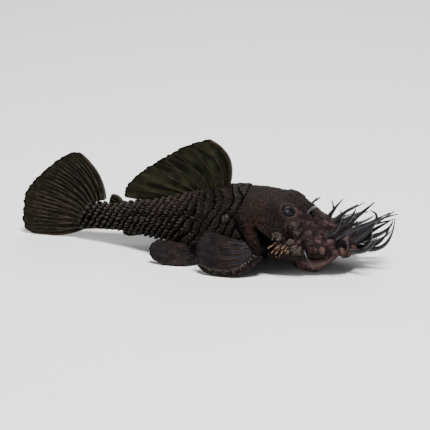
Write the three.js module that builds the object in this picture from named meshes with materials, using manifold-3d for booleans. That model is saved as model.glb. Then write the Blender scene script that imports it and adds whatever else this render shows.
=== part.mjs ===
// A life-size bristlenose pleco: a grown male of this armoured, sucker-mouthed catfish, resting on
// the floor with its head propped on the sucker mouth, its side fins folded back along its flanks,
// its back fin raised and its tail fin spread. Millimetres. +X is forward, +Y the fish's left and
// +Z up. The shape is worked out in a frame whose X is 0 at the snout tip and whose Z is 0 on the
// floor; the last lines move it so that the origin is the bottom centre of the whole fish.

import * as THREE from "three";
import { mergeVertices } from "three/addons/utils/BufferGeometryUtils.js";
import Module from "manifold-3d";

const wasm = await Module();
wasm.setup();

// Gap that touching pieces keep
const GAP = 0.3;
// Facets flatter than these are merged: the first in rounded forms before their small pieces are
// added, the second in a finished node, where pieces cut each other in slivers
const FINEST = 0.07;
const SLIVER = 0.04;

// Body stations: distance behind the snout tip, half width, top, level of the widest point, bottom,
// and the powers of the section's upper and lower curves (2 is an ellipse, more is boxier)
const STATIONS = [
  [0, 0, 7.9, 7.8, 7.7, 2, 2],
  [0.4, 3.8, 9.2, 7.8, 6.6, 2, 2.2],
  [1.4, 6.8, 10.6, 7.9, 6.0, 2, 2.4],
  [4, 10.2, 12.4, 8.2, 5.6, 1.9, 2.6],
  [8, 12.6, 13.7, 8.6, 5.4, 1.8, 3],
  [14, 14.6, 17.4, 9.0, 5.3, 1.8, 3],
  [20, 15.8, 21.8, 9.4, 5.1, 1.9, 3],
  [26, 16.4, 24.3, 9.7, 4.9, 2.0, 3],
  [34, 16.7, 25.3, 10.0, 4.6, 2.1, 3],
  [42, 16.2, 25.4, 10.3, 4.3, 2.0, 3],
  [50, 14.7, 24.2, 10.5, 4.2, 1.9, 2.8],
  [61, 11.8, 21.3, 10.4, 4.6, 1.9, 2.6],
  [72, 8.7, 17.8, 10.1, 5.2, 2.0, 2.4],
  [84, 5.6, 14.8, 9.6, 5.1, 2.2, 2.3],
  [93, 3.9, 13.7, 9.2, 4.4, 2.3, 2.3],
  [104, 2.2, 14.4, 9.0, 3.0, 2.2, 2.2],
];

// The rear of the body swings to the left
const BEND_START = 45;
const BEND_END = 100;
const BEND = 5.2;

// Planes that part the body: where each crosses the back, and how far back it leans at the belly
const HEAD_END = { s: 44.5, lean: -0.3 };
const SNOUT_END = { s: 14.8, lean: 0.1 };
const TRUNK_END = { s: 60, lean: -0.25 };
const STALK_START = { s: 76, lean: -0.25 };
// The body ends, under the tail fin, on an upright arc
const TAIL_BASE = { x: -90.3, z: 5.7, radius: 10.6 };

// Eyes: balls sunk in the skin, each in a low mound with a raised rim
const EYE = { s: 23.6, y: 9.1, radius: 3.2, sunk: 2.25 };
const ORBIT = { rise: 0.4, reach: 4.2, rim: 3.2, thickness: 0.42 };

// Nostrils: a ring round a pit, with a flap of skin behind it
const NOSTRIL = { s: 17.1, y: 4.2, radius: 0.95, thickness: 0.34, pit: 0.9, flap: 3.0 };

// Sucker mouth: an oval disc below the snout, whose lip lifts off the floor in front. The profile is
// [radius, height] from its inner top, out round the lip and in again to the hollow
const MOUTH = { s: 15.4, long: 0.82, wide: 0.95, lift: 3.0 };
const MOUTH_PROFILE = [
  [5.6, 8],
  [6.9, 6.2],
  [7.4, 5.2],
  [8.1, 4.6],
  [9.1, 4.4],
  [9.8, 3.2],
  [9.9, 1.7],
  [9.4, -0.1],
  [8.4, -0.3],
  [6.9, -0.3],
  [5.4, 0.8],
  [3.4, 2.3],
];

// Gill covers: rounded plates let into the cheeks, each with a fan of spines in two layers, and
// behind each the ridge of the shoulder that carries the pectoral fin. The fan's first and last
// spine give the place [s, z] of their roots, their turn below the level and their length
const COVER = { s: 24.4, y: 14.4, z: 9.6, long: 5.1, deep: 2.9, high: 4.3, rise: 0.5 };
const FAN = {
  layers: 2,
  perLayer: 6,
  first: { s: 23.6, z: 12.4, turn: 14, long: 6.2 },
  last: { s: 20.7, z: 9.8, turn: 76, long: 2.8 },
  radius: 0.55,
  tip: 0.28,
};
const SHOULDER = {
  path: [
    [-39.4, -12.6, 19.2],
    [-37.0, -14.2, 16.6],
    [-34.4, -15.4, 12.8],
    [-32.2, -16.3, 9.4],
  ],
  radius: 2.4,
  end: 2.3,
};

// Bony plates: rows between these angles, in columns that get shorter towards the tail
const ROW_BORDERS = [90, 62, 34, 8, -20, -48];
const PLATE_ACROSS = [
  [0, 0],
  [0.22, 1],
  [0.78, 1],
];
const PLATES = { start: 44, length: 3.1, shrink: 0.022, first: -5, last: 24 };
const PLATE = { rise: 0.48, lean: 0.3, point: 0.45, seam: 0.13 };
const SHOULDER_SPOT = { s: 44.4, y: 13.2, radius: 1.8 };

// Bristles of the snout: root, bend and tip, and for a forked one its second tip
const BRISTLES = [
  [[-11.8, 2, 15.4], [-10, 3, 18.6], [-7.1, 4, 22.3], [-10.7, 3, 22]],
  [[-10, 3, 14.0], [-6.3, 4, 17.6], [-2.2, 6, 20], [-0.2, 6.4, 20.6]],
  [[-6.5, 1, 12.8], [-1.2, 4, 17.2], [3.5, 6, 21.4]],
  [[-11.5, -8.6, 12.6], [-6.9, -10, 17.0], [-6.4, -9, 23], [-4.4, -10, 18.4]],
  [[-7.6, -4, 13.0], [-4, -4, 17.8], [-2, -3, 21.7]],
  [[-8.9, -8.4, 11.4], [0.8, -9, 18.0], [12, -5, 21.6], [9.6, -7, 22.6]],
  [[-3.2, -1, 11.2], [3.3, 0, 15.2], [10.6, 2, 20.1], [10.9, 1, 17.6]],
  [[-2.9, -4, 11.2], [-1.2, -5, 15.2], [-1.6, -5, 18.4]],
  [[-1.4, 0.6, 9.2], [4.3, 2, 13.1], [9.1, 3, 16]],
  [[-1.6, 2.4, 8.6], [6.7, 1, 12.3], [10.1, 2, 16.5]],
  [[-1.6, -3, 7.8], [3.1, -6, 11], [3.6, -8, 18.2]],
  [[-1.0, -1, 7.6], [7.6, -3, 9.2], [11.1, -4, 19.1]],
  [[-1.0, 1, 7.6], [5.6, 0, 8.9], [9.7, -1, 16.5]],
  [[-3.0, -5, 10.4], [4.8, -6, 18.6], [2.9, -6, 22.6]],
  [[-5.6, -9.2, 11.2], [-3.4, -12.4, 12.7], [-3.5, -12, 9.9]],
  [[-4.6, -7.6, 8.8], [2.2, -9.6, 9.6], [5.8, -10.2, 14.6]],
  [[-4.2, 7.4, 8.8], [2.0, 10.4, 8.8], [5.6, 11.6, 11.4]],
  [[-2.2, 4.6, 8.0], [4.6, 6.4, 7.4], [9.4, 7.2, 11.0]],
  [[-6.8, 9.4, 10.4], [-1.2, 12.6, 11.4], [2.8, 14.0, 13.6]],
  [[-9.6, 9.4, 11.8], [-5.6, 13.6, 11.8], [-1.2, 15.6, 13.2]],
  [[-12.2, 11.4, 10.8], [-9.6, 15.6, 11.2], [-5.6, 17.6, 12.2]],
  [[-8.0, 6.0, 13.4], [-3.6, 8.6, 15.4], [1.2, 9.4, 16.4]],
];
const BRISTLE = { root: 0.95, slender: 0.62, tip: 0.22, long: 15 };
// Swellings between the bristles: distance behind the snout tip, angle round the section, radius
const BULBS = [
  [2.0, 155, 1.7],
  [5.0, 167, 1.7],
  [9.2, 148, 2.4],
  [11.6, 168, 1.4],
  [13.2, 170, 1.2],
  [3.2, 186, 1.3],
  [7.2, 178, 1.5],
];
const BARBEL = [[-17.4, -13.6, 10.2], [-17.0, -17.0, 9.6], [-15.2, -16.6, 6.6]];

// Fins. Those on the middle line give [s, z] points: their roots, the bends of their rays and
// their tips, first ray first
const DORSAL = {
  rays: 9,
  webs: 2,
  roots: [[46, 23.6], [55.6, 21.4], [65, 18.6], [72.6, 16.2]],
  bends: [[41.2, 37.0], [52.4, 32.4], [64.6, 28.0], [77.4, 15.8]],
  tips: [[53.1, 41.8], [60.2, 39.2], [69.6, 33.5], [79.1, 26.3], [84.2, 19.0]],
};
const ADIPOSE = {
  rays: 3,
  webs: 1,
  roots: [[84.4, 14.0], [87, 13.2], [89.6, 12.6]],
  bends: [[86.0, 18.6], [88.2, 16.6], [89.9, 14.0]],
  tips: [[89.3, 17.6], [89.8, 16.4], [90.1, 15.0]],
};
const ANAL = {
  rays: 4,
  webs: 1,
  roots: [[74.6, 6.4], [76.4, 6.6], [78.6, 6.6]],
  bends: [[77.8, 3.4], [80.2, 4.0], [81.6, 4.6]],
  tips: [[83.4, 2.6], [85.2, 3.2], [85.4, 4.2]],
};
const CAUDAL = {
  rays: 14,
  webs: 2,
  bends: [[91.4, 25.4], [102, 24.2], [107.6, 13.6], [109.5, 5.4], [109, -1.4]],
  tips: [
    [102.4, 32.6],
    [108.5, 28.7],
    [116.9, 21.2],
    [120.5, 15.4],
    [122.4, 9.8],
    [123.9, 3.7],
    [121.4, 0.5],
  ],
};
// Paired fins, given for the right side as [x, y, z]
const PECTORAL = {
  rays: 7,
  webs: 1,
  roots: [[-31.6, -16.6, 8.2], [-33.4, -16.2, 10.0], [-35.6, -15.6, 11.4]],
  bends: [[-40.0, -20.2, -2.9], [-42.0, -19.6, 7.0], [-42.4, -18.9, 14.2]],
  tips: [
    [-52.4, -18.3, 3.2],
    [-53.3, -18.4, 7.6],
    [-52.8, -18.6, 12.0],
    [-50.2, -18.2, 15.6],
  ],
};
const SPINE = { root: 1.75, tip: 1.0, thorns: 8, thorn: 1.1 };
const PELVIC = {
  rays: 6,
  webs: 1,
  roots: [[-51.5, -9.5, 5.6], [-53.4, -9.0, 6.2], [-55.2, -8.8, 7.0]],
  bends: [[-58.2, -14.4, -2.2], [-60.2, -14.8, 3.4], [-60.6, -14.9, 8.8]],
  tips: [
    [-66.5, -13.7, 0.6],
    [-70.2, -13.4, 2.2],
    [-71.1, -13.1, 4.8],
    [-70.3, -12.8, 7.2],
    [-67.8, -12.6, 9.0],
  ],
};

// Materials, as the photograph shows them
const COLOURS = {
  skin: { color: 0x2a211d, roughness: 0.62 },
  snout: { color: 0x2f2523, roughness: 0.5 },
  lips: { color: 0x4a3630, roughness: 0.45 },
  fin: { color: 0x1c1a16, roughness: 0.55 },
  spine: { color: 0x5a3c24, roughness: 0.5 },
  eye: { color: 0x08080a, roughness: 0.15 },
};

const rad = THREE.MathUtils.degToRad;
const smoothstep = THREE.MathUtils.smoothstep;
const lerp = THREE.MathUtils.lerp;
const vec = (x, y, z) => new THREE.Vector3(x, y, z);

// A repeatable random number from 0 to 1
let seed = 7;
function random() {
  seed = (seed * 16807) % 2147483647;
  return seed / 2147483647;
}

// A smooth curve through the stations that never overshoots them
function monotone(xs, ys) {
  const steps = xs.slice(1).map((x, i) => (ys[i + 1] - ys[i]) / (x - xs[i]));
  const slopes = xs.map((_, i) => {
    if (i === 0) return steps[0];
    if (i === xs.length - 1) return steps[i - 1];
    const [a, b] = [steps[i - 1], steps[i]];
    return a * b <= 0 ? 0 : (2 * a * b) / (a + b);
  });
  return (x) => {
    const t0 = Math.min(Math.max(x, xs[0]), xs[xs.length - 1]);
    let i = 0;
    while (i < xs.length - 2 && t0 > xs[i + 1]) i++;
    const h = xs[i + 1] - xs[i];
    const t = (t0 - xs[i]) / h;
    const keep = (1 + 2 * t) * (1 - t) ** 2;
    const next = t * t * (3 - 2 * t);
    const leave = t * (1 - t) ** 2 * h;
    const enter = t * t * (t - 1) * h;
    return ys[i] * keep + ys[i + 1] * next + slopes[i] * leave + slopes[i + 1] * enter;
  };
}

const along = STATIONS.map((row) => row[0]);
const [halfWidth, topAt, middleAt, bottomAt, upperPower, lowerPower] = [1, 2, 3, 4, 5, 6].map(
  (column) => monotone(along, STATIONS.map((row) => row[column])),
);
const spineY = (s) => BEND * smoothstep(s, BEND_START, BEND_END);

// The skin at distance s behind the snout and angle a round the section: 0 is the left side,
// 90 degrees the back and 180 the right side; lift moves the point out along the section's normal
function skinPoint(s, a, lift = 0) {
  const up = Math.sin(a) >= 0;
  const power = up ? upperPower(s) : lowerPower(s);
  const w = Math.max(halfWidth(s), 0.01);
  const h = up ? topAt(s) - middleAt(s) : middleAt(s) - bottomAt(s);
  const c = Math.cos(a);
  const n = Math.sin(a);
  const y = Math.sign(c) * Math.abs(c) ** (2 / power);
  const z = Math.sign(n) * Math.abs(n) ** (2 / power);
  const normal = vec(
    0,
    (Math.sign(y) * Math.abs(y) ** (power - 1)) / w,
    (Math.sign(z) * Math.abs(z) ** (power - 1)) / h,
  ).normalize();
  return vec(-s, spineY(s) + y * w, middleAt(s) + z * h).addScaledVector(normal, lift);
}

// The outward direction of the skin there, with the body's own taper in it
function skinNormal(s, a) {
  const step = 0.2;
  const lengthwise = skinPoint(s + step, a).sub(skinPoint(s - step, a));
  const round = skinPoint(s, a + rad(1)).sub(skinPoint(s, a - rad(1)));
  return lengthwise.cross(round).normalize();
}

// The point of the back at a sideways distance y from the middle
function backPoint(s, y) {
  const share = 1 - Math.abs(y / halfWidth(s)) ** upperPower(s);
  const z = middleAt(s) + (topAt(s) - middleAt(s)) * share ** (1 / upperPower(s));
  return vec(-s, spineY(s) + y, z);
}

// Closed geometry from rings of points that all have the same count, with a fan over each end
function loft(rings) {
  const points = rings.flat();
  const around = rings[0].length;
  const faces = [];
  for (let i = 0; i + 1 < rings.length; i++) {
    for (let j = 0; j < around; j++) {
      const [a, b] = [i * around + j, i * around + ((j + 1) % around)];
      faces.push(a, b, a + around, b, b + around, a + around);
    }
  }
  [0, rings.length - 1].forEach((end) => {
    const middle = points.length;
    const sum = rings[end].reduce((total, p) => total.add(p), vec(0, 0, 0));
    points.push(sum.divideScalar(around));
    for (let j = 0; j < around; j++) {
      const [a, b] = [end * around + j, end * around + ((j + 1) % around)];
      faces.push(...(end ? [a, b, middle] : [b, a, middle]));
    }
  });
  return new THREE.BufferGeometry().setFromPoints(points).setIndex(faces);
}

// A closed geometry as a solid, turned the right way out
function solid(geometry) {
  const bare = new THREE.BufferGeometry();
  bare.setAttribute("position", geometry.getAttribute("position"));
  bare.setIndex(geometry.getIndex());
  const merged = mergeVertices(bare, 1e-4);
  const vertProperties = merged.attributes.position.array;
  const triVerts = new Uint32Array(merged.index.array);
  const made = new wasm.Manifold(new wasm.Mesh({ numProp: 3, vertProperties, triVerts }));
  if (made.volume() > 0) return made;
  for (let i = 0; i < triVerts.length; i += 3) {
    [triVerts[i + 1], triVerts[i + 2]] = [triVerts[i + 2], triVerts[i + 1]];
  }
  return new wasm.Manifold(new wasm.Mesh({ numProp: 3, vertProperties, triVerts }));
}

// Only the largest closed surface, so that no loose scrap or sealed hollow stays
function largest(made) {
  return made.decompose().reduce((best, piece) => (piece.volume() > best.volume() ? piece : best));
}

// A solid as a geometry
function geometryOf(made) {
  const { vertProperties, numProp, triVerts } = made.getMesh();
  const positions = new Float32Array((vertProperties.length / numProp) * 3);
  for (let i = 0; i < positions.length / 3; i++) {
    positions.set(vertProperties.subarray(i * numProp, i * numProp + 3), i * 3);
  }
  const geometry = new THREE.BufferGeometry();
  geometry.setAttribute("position", new THREE.BufferAttribute(positions, 3));
  geometry.setIndex(new THREE.BufferAttribute(triVerts, 1));
  return geometry;
}

const union = (pieces) => pieces.reduce((whole, piece) => whole.add(piece));

// A box that fills one side of a leaning plane across the body: the side ahead of it or behind it
function half(plane, ahead, shift = 0) {
  const size = 400;
  const box = new THREE.BoxGeometry(size, size, size);
  box.translate(ahead ? size / 2 : -size / 2, 0, 0);
  box.rotateY(Math.atan(plane.lean));
  const back = topAt(plane.s);
  return solid(box.translate(-plane.s + shift, 0, back));
}
const aheadOf = (plane) => half(plane, true, GAP / 2);
const behind = (plane) => half(plane, false, -GAP / 2);

// Everything below the floor
const underFloor = solid(new THREE.BoxGeometry(400, 400, 50).translate(0, 0, -25));
const onFloor = (made) => largest(made.subtract(underFloor));

// Angles round a smooth section
const ROUND = Array.from({ length: 32 }, (_, j) => rad(90 + j * 11.25));

// The eyes' places on the skin, and the skin's rise round them
const eyeSpots = [-1, 1].map((side) => backPoint(EYE.s, side * EYE.y));
function orbitLift(point) {
  const mound = (spot) => ORBIT.rise * Math.exp(-((point.distanceTo(spot) / ORBIT.reach) ** 4));
  return mound(eyeSpots[0]) + mound(eyeSpots[1]);
}

// The head as a smooth loft from the snout tip back
function headSolid(lift = 0) {
  const length = 50;
  const count = 20;
  const rings = Array.from({ length: count + 1 }, (_, i) => {
    const s = length * (i / count) ** 1.5;
    return ROUND.map((a) => skinPoint(s, a, lift + orbitLift(skinPoint(s, a))));
  });
  return solid(loft(rings));
}

// The angles at which plates are drawn, and how much of the plate's rise each has
const plateAngles = ROW_BORDERS.slice(1).flatMap((next, row) =>
  PLATE_ACROSS.map(([share, crest]) => ({ a: rad(lerp(ROW_BORDERS[row], next, share)), crest })),
);
const bellyAngles = [-48, -69, -90, -111, -132].map((a) => ({ a: rad(a), crest: 0 }));
const rightAngles = plateAngles.slice(1).map(({ a, crest }) => ({ a: Math.PI - a, crest }));
const PLATED_ROUND = [...plateAngles, ...bellyAngles, ...rightAngles.reverse()];
const plateBorder = (k) => PLATES.start + PLATES.length * k - PLATES.shrink * k * k;

// The body behind the head: each column of plates rises to its rear edge and steps down there
function platedSolid(lift = 0) {
  const rings = [];
  for (let k = PLATES.first; k < PLATES.last; k++) {
    [0, 1].forEach((rear) => {
      rings.push(
        PLATED_ROUND.map(({ a, crest }) => {
          const border = plateBorder(k + rear);
          const drop = topAt(border) - skinPoint(border, a).z;
          const seam = rear ? -PLATE.seam : PLATE.seam;
          const s = border + PLATE.lean * drop + PLATE.point * crest + seam;
          return skinPoint(s, a, lift + crest * (rear ? PLATE.rise : 0.12));
        }),
      );
    });
  }
  return solid(loft(rings));
}

// A tapered tube of few sides along a curve
function tube(curve, radiusAt, steps, sides) {
  const { normals, binormals } = curve.computeFrenetFrames(steps, false);
  const rings = normals.map((normal, i) => {
    const centre = curve.getPointAt(i / steps);
    const radius = radiusAt(i / steps);
    return Array.from({ length: sides }, (_, j) => {
      const a = (j / sides) * 2 * Math.PI;
      return centre
        .clone()
        .addScaledVector(normal, Math.cos(a) * radius)
        .addScaledVector(binormals[i], Math.sin(a) * radius);
    });
  });
  return solid(loft(rings));
}
const ballAt = (centre, radius, wide = 7, high = 4) =>
  solid(new THREE.SphereGeometry(radius, wide, high).translate(...centre.toArray()));

// A ring or a disc laid on the skin, its axis along the normal
function laidOn(geometry, centre, normal) {
  geometry.applyQuaternion(new THREE.Quaternion().setFromUnitVectors(vec(0, 0, 1), normal));
  return solid(geometry.translate(...centre.toArray()));
}

// A closed fin: sheet(u, r) is its middle surface, u from the first ray to the last and r from root
// to edge. The web between two rays has webs lines of points; thick(u, r) is its thickness, and
// rays stand out from it by ridge(u, r)
function finSolid({ rays, webs, rows, sheet, thick, ridge }) {
  const notch = 0.03;
  const columns = (rays - 1) * (webs + 1) + 1;
  const tall = rows + 1;
  const faces = [[], []];
  for (let j = 0; j < columns; j++) {
    const u = j / (columns - 1);
    const onRay = j % (webs + 1) === 0;
    for (let i = 0; i < tall; i++) {
      const r = (i / rows) * (onRay ? 1 : 1 - notch);
      const d = 1e-3;
      const across = sheet(Math.min(u + d, 1), r).sub(sheet(Math.max(u - d, 0), r));
      const outward = sheet(u, Math.min(r + d, 1)).sub(sheet(u, Math.max(r - d, 0)));
      const normal = across.cross(outward).normalize();
      const depth = (thick(u, r) + (onRay ? ridge(u, r) : 0)) / 2;
      faces[0].push(sheet(u, r).addScaledVector(normal, depth));
      faces[1].push(sheet(u, r).addScaledVector(normal, -depth));
    }
  }
  const other = columns * tall;
  const last = other - tall;
  const index = [];
  const quad = (a, b, c, d) => index.push(a, b, c, a, c, d);
  for (let j = 0; j + 1 < columns; j++) {
    const [root, edge] = [j * tall, j * tall + rows];
    for (let a = root; a < edge; a++) {
      const [b, c, d] = [a + tall, a + tall + 1, a + 1];
      quad(a, b, c, d);
      index.push(other + a, other + c, other + b, other + a, other + d, other + c);
    }
    quad(root + tall, root, other + root, other + root + tall);
    quad(edge, edge + tall, other + edge + tall, other + edge);
  }
  for (let i = 0; i < rows; i++) {
    quad(i, i + 1, other + i + 1, other + i);
    quad(last + i + 1, last + i, other + last + i, other + last + i + 1);
  }
  return solid(new THREE.BufferGeometry().setFromPoints(faces.flat()).setIndex(index));
}

// A fin's middle surface from three curves across its rays
function bentSheet(roots, bends, tips) {
  return (u, r) => {
    const point = roots(u).multiplyScalar((1 - r) ** 2);
    point.addScaledVector(bends(u), 2 * r * (1 - r));
    return point.addScaledVector(tips(u), r * r);
  };
}
function through(points) {
  const curve = new THREE.CatmullRomCurve3(points.map((p) => vec(...p)), false, "centripetal");
  return (u) => curve.getPointAt(u);
}
function uprightCurve(points) {
  const curve = through(points.map(([s, z]) => [-s, 0, z]));
  return (u) => {
    const point = curve(u);
    return point.setY(spineY(-point.x));
  };
}
const uprightSheet = ({ roots, bends, tips }) =>
  bentSheet(uprightCurve(roots), uprightCurve(bends), uprightCurve(tips));
const sideSheet = ({ roots, bends, tips }) =>
  bentSheet(through(roots), through(bends), through(tips));
const mirrorPoint = (p) => p.clone().setY(2 * spineY(-p.x) - p.y);
const mirrorSheet = (sheet) => (u, r) => mirrorPoint(sheet(u, r));

const nodes = [];
function addNode(name, made, colour) {
  const material = new THREE.MeshStandardMaterial({ ...COLOURS[colour], metalness: 0 });
  const mesh = new THREE.Mesh(geometryOf(largest(made).simplify(SLIVER)), material);
  mesh.name = name;
  nodes.push(mesh);
}
const SIDES = ["right", "left"];
const ofSide = (index, point) => (index ? mirrorPoint(point) : point);

// Parts of the head that both a node and its neighbours' clearances need
const headRaw = headSolid();
const platedRaw = platedSolid();
function shoulders(extra) {
  return [0, 1].map((index) => {
    const points = SHOULDER.path.map((p) => ofSide(index, vec(...p)));
    const curve = new THREE.CatmullRomCurve3(points, false, "centripetal");
    const rod = tube(curve, (t) => lerp(SHOULDER.radius, SHOULDER.end, t) + extra, 4, 7);
    return rod.add(ballAt(points[points.length - 1], SHOULDER.end + extra));
  });
}
function coverBlob(index, extra) {
  const centre = vec(-COVER.s, (index ? 1 : -1) * COVER.y, COVER.z);
  const blob = new THREE.SphereGeometry(1, 14, 7);
  blob.scale(COVER.long + extra, COVER.deep + extra, COVER.high + extra);
  return solid(blob.rotateY(rad(-8)).translate(...centre.toArray()));
}
const clearance = union([headSolid(GAP), platedSolid(GAP), ...shoulders(GAP)]);

// Eyes
const eyes = eyeSpots.map((spot) => {
  const a = Math.atan2(spot.z - middleAt(EYE.s), spot.y);
  const normal = skinNormal(EYE.s, a);
  return { normal, rim: spot.clone().addScaledVector(normal, ORBIT.rise) };
});
const eyeBall = ({ normal, rim }, extra) =>
  ballAt(rim.clone().addScaledVector(normal, -EYE.sunk), EYE.radius + extra, 14, 9);
eyes.forEach((eye, index) => addNode("eye_" + SIDES[index], eyeBall(eye, 0), "eye"));

// Head
const orbitRims = eyes.map(({ normal, rim }) =>
  laidOn(new THREE.TorusGeometry(ORBIT.rim, ORBIT.thickness, 4, 16), rim, normal),
);
const nostrils = [-1, 1].map((side) => {
  const spot = backPoint(NOSTRIL.s, side * NOSTRIL.y);
  const normal = skinNormal(NOSTRIL.s, Math.atan2(spot.z - middleAt(NOSTRIL.s), spot.y));
  const ring = new THREE.TorusGeometry(NOSTRIL.radius, NOSTRIL.thickness, 4, 8);
  const back = spot.clone().add(vec(-NOSTRIL.radius, 0, -0.4));
  const middle = back.clone().addScaledVector(normal, NOSTRIL.flap * 0.6);
  const tip = middle.clone().add(vec(NOSTRIL.flap * 0.5, 0, NOSTRIL.flap * 0.25));
  const flap = tube(new THREE.QuadraticBezierCurve3(back, middle, tip), (t) => 0.75 - 0.4 * t, 2, 5);
  const pit = new THREE.CylinderGeometry(NOSTRIL.radius - 0.45, 0.2, 2 * NOSTRIL.pit, 6);
  return { raised: laidOn(ring, spot, normal).add(flap), pit: laidOn(pit.rotateX(rad(90)), spot, normal) };
});
const barbels = [0, 1].map((index) => {
  const points = BARBEL.map((p) => ofSide(index, vec(...p)));
  return tube(new THREE.QuadraticBezierCurve3(...points), (t) => 0.55 - 0.25 * t, 4, 5);
});
const headPlus = union([headRaw, ...orbitRims, ...nostrils.map((n) => n.raised), ...shoulders(0)]);
const headMinus = union([
  ...eyes.map((eye) => eyeBall(eye, GAP)),
  ...nostrils.map((n) => n.pit),
  coverBlob(0, GAP),
  coverBlob(1, GAP),
]);
const headPart = headPlus.intersect(behind(SNOUT_END)).intersect(aheadOf(HEAD_END));
const headCut = headPart.subtract(headMinus).simplify(FINEST);
addNode("head", union([headCut, ...barbels]), "skin");

// Gill covers with their spines
function fanSpine(index, layer, t) {
  const value = (key) => lerp(FAN.first[key], FAN.last[key], t);
  const s = value("s");
  const z = value("z") - 0.6 * layer;
  const turn = rad(value("turn") + 14 * (random() - 0.5));
  const angle = Math.atan2((z - middleAt(s)) * 1.5, halfWidth(s));
  const root = skinPoint(s, Math.PI - angle, -0.6);
  const out = vec(-Math.cos(turn), -0.22 - 0.25 * layer, -Math.sin(turn)).normalize();
  const tip = root.clone().addScaledVector(out, value("long") * (0.8 + 0.2 * random()) + 0.6);
  const bend = root.clone().lerp(tip, 0.5).add(vec(0, -0.6, 0.2));
  const curve = new THREE.QuadraticBezierCurve3(...[root, bend, tip].map((p) => ofSide(index, p)));
  return tube(curve, (r) => lerp(FAN.radius, FAN.tip, r * r), 2, 4);
}
[0, 1].forEach((index) => {
  const blob = coverBlob(index, 0);
  const plate = headSolid(COVER.rise).intersect(blob).simplify(FINEST);
  const around = headSolid(GAP).subtract(blob).add(shoulders(GAP)[index]);
  const spines = [];
  for (let layer = 0; layer < FAN.layers; layer++) {
    for (let i = 0; i < FAN.perLayer; i++) {
      spines.push(fanSpine(index, layer, i / (FAN.perLayer - 1)));
    }
  }
  addNode("gill_cover_" + SIDES[index], plate.add(union(spines).subtract(around)), "spine");
});

// Snout with its bristles
function bristle([root, bend, tip, fork]) {
  const [a, b, c] = [root, bend, tip].map((p) => vec(...p));
  const control = b.clone().multiplyScalar(2).addScaledVector(a, -0.5).addScaledVector(c, -0.5);
  const curve = new THREE.QuadraticBezierCurve3(a, control, c);
  const stout = Math.min(curve.getLength() / BRISTLE.long, 1);
  const rootRadius = lerp(BRISTLE.slender, BRISTLE.root, stout);
  const stem = tube(curve, (t) => lerp(rootRadius, BRISTLE.tip, t), 4, 5);
  if (!fork) return stem;
  const from = curve.getPointAt(0.5);
  const end = vec(...fork);
  const twig = new THREE.QuadraticBezierCurve3(from, from.clone().lerp(end, 0.5).lerp(b, 0.2), end);
  return stem.add(tube(twig, (t) => lerp(0.5, BRISTLE.tip, t), 2, 4));
}
const bulbs = SIDES.flatMap((_, index) =>
  BULBS.map(([s, degrees, radius]) => {
    const a = rad(degrees);
    const centre = skinPoint(s, a).addScaledVector(skinNormal(s, a), -0.4 * radius);
    return ballAt(ofSide(index, centre), radius);
  }),
);
const snoutBody = union([headRaw, ...bulbs]).intersect(aheadOf(SNOUT_END)).simplify(FINEST);
addNode("snout", union([snoutBody, ...BRISTLES.map(bristle)]), "snout");

// Mouth
const lathe = new THREE.LatheGeometry(
  [[0, 8], ...MOUTH_PROFILE, [0, 2.9]].map(([r, z]) => new THREE.Vector2(r, z)),
  20,
);
lathe.rotateX(rad(90));
const lip = lathe.getAttribute("position");
for (let i = 0; i < lip.count; i++) {
  const radius = Math.hypot(lip.getX(i), lip.getY(i));
  const ahead = smoothstep(lip.getX(i) / Math.max(radius, 0.01), 0.1, 0.85);
  const low = 1 - smoothstep(lip.getZ(i), 0, 5);
  lip.setZ(i, lip.getZ(i) + MOUTH.lift * ahead * low * smoothstep(radius, 4, 8));
}
lathe.scale(MOUTH.long, MOUTH.wide, 1).translate(-MOUTH.s, 0, 0);
const mouthRoom = union([headSolid(GAP), ...bulbs]);
addNode("mouth", onFloor(solid(lathe).subtract(mouthRoom).simplify(FINEST)), "lips");

// Trunk and tail
const spots = [0, 1].map((index) => {
  const spot = backPoint(SHOULDER_SPOT.s, -SHOULDER_SPOT.y);
  const normal = skinNormal(SHOULDER_SPOT.s, Math.atan2(spot.z - middleAt(SHOULDER_SPOT.s), spot.y));
  const disc = new THREE.SphereGeometry(SHOULDER_SPOT.radius, 12, 6).scale(1, 1, 0.45);
  const direction = index ? normal.clone().multiply(vec(1, -1, 1)) : normal;
  return laidOn(disc, ofSide(index, spot), direction);
});
const arc = (extra, high) => {
  const radius = TAIL_BASE.radius + extra;
  const drum = new THREE.CylinderGeometry(radius, radius, 60, 30);
  const ahead = new THREE.BoxGeometry(200, 60, high).translate(TAIL_BASE.x + 100, 0, TAIL_BASE.z);
  return solid(drum.translate(TAIL_BASE.x, 0, TAIL_BASE.z)).add(solid(ahead));
};
const frontPart = union([platedRaw, ...spots]).intersect(behind(HEAD_END));
addNode("trunk_front", frontPart.intersect(aheadOf(TRUNK_END)), "skin");
const rearPart = platedRaw.intersect(behind(TRUNK_END)).intersect(aheadOf(STALK_START));
addNode("trunk_rear", rearPart, "skin");
addNode("tail_stalk", platedRaw.intersect(behind(STALK_START)).intersect(arc(0, 60)), "skin");

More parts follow.
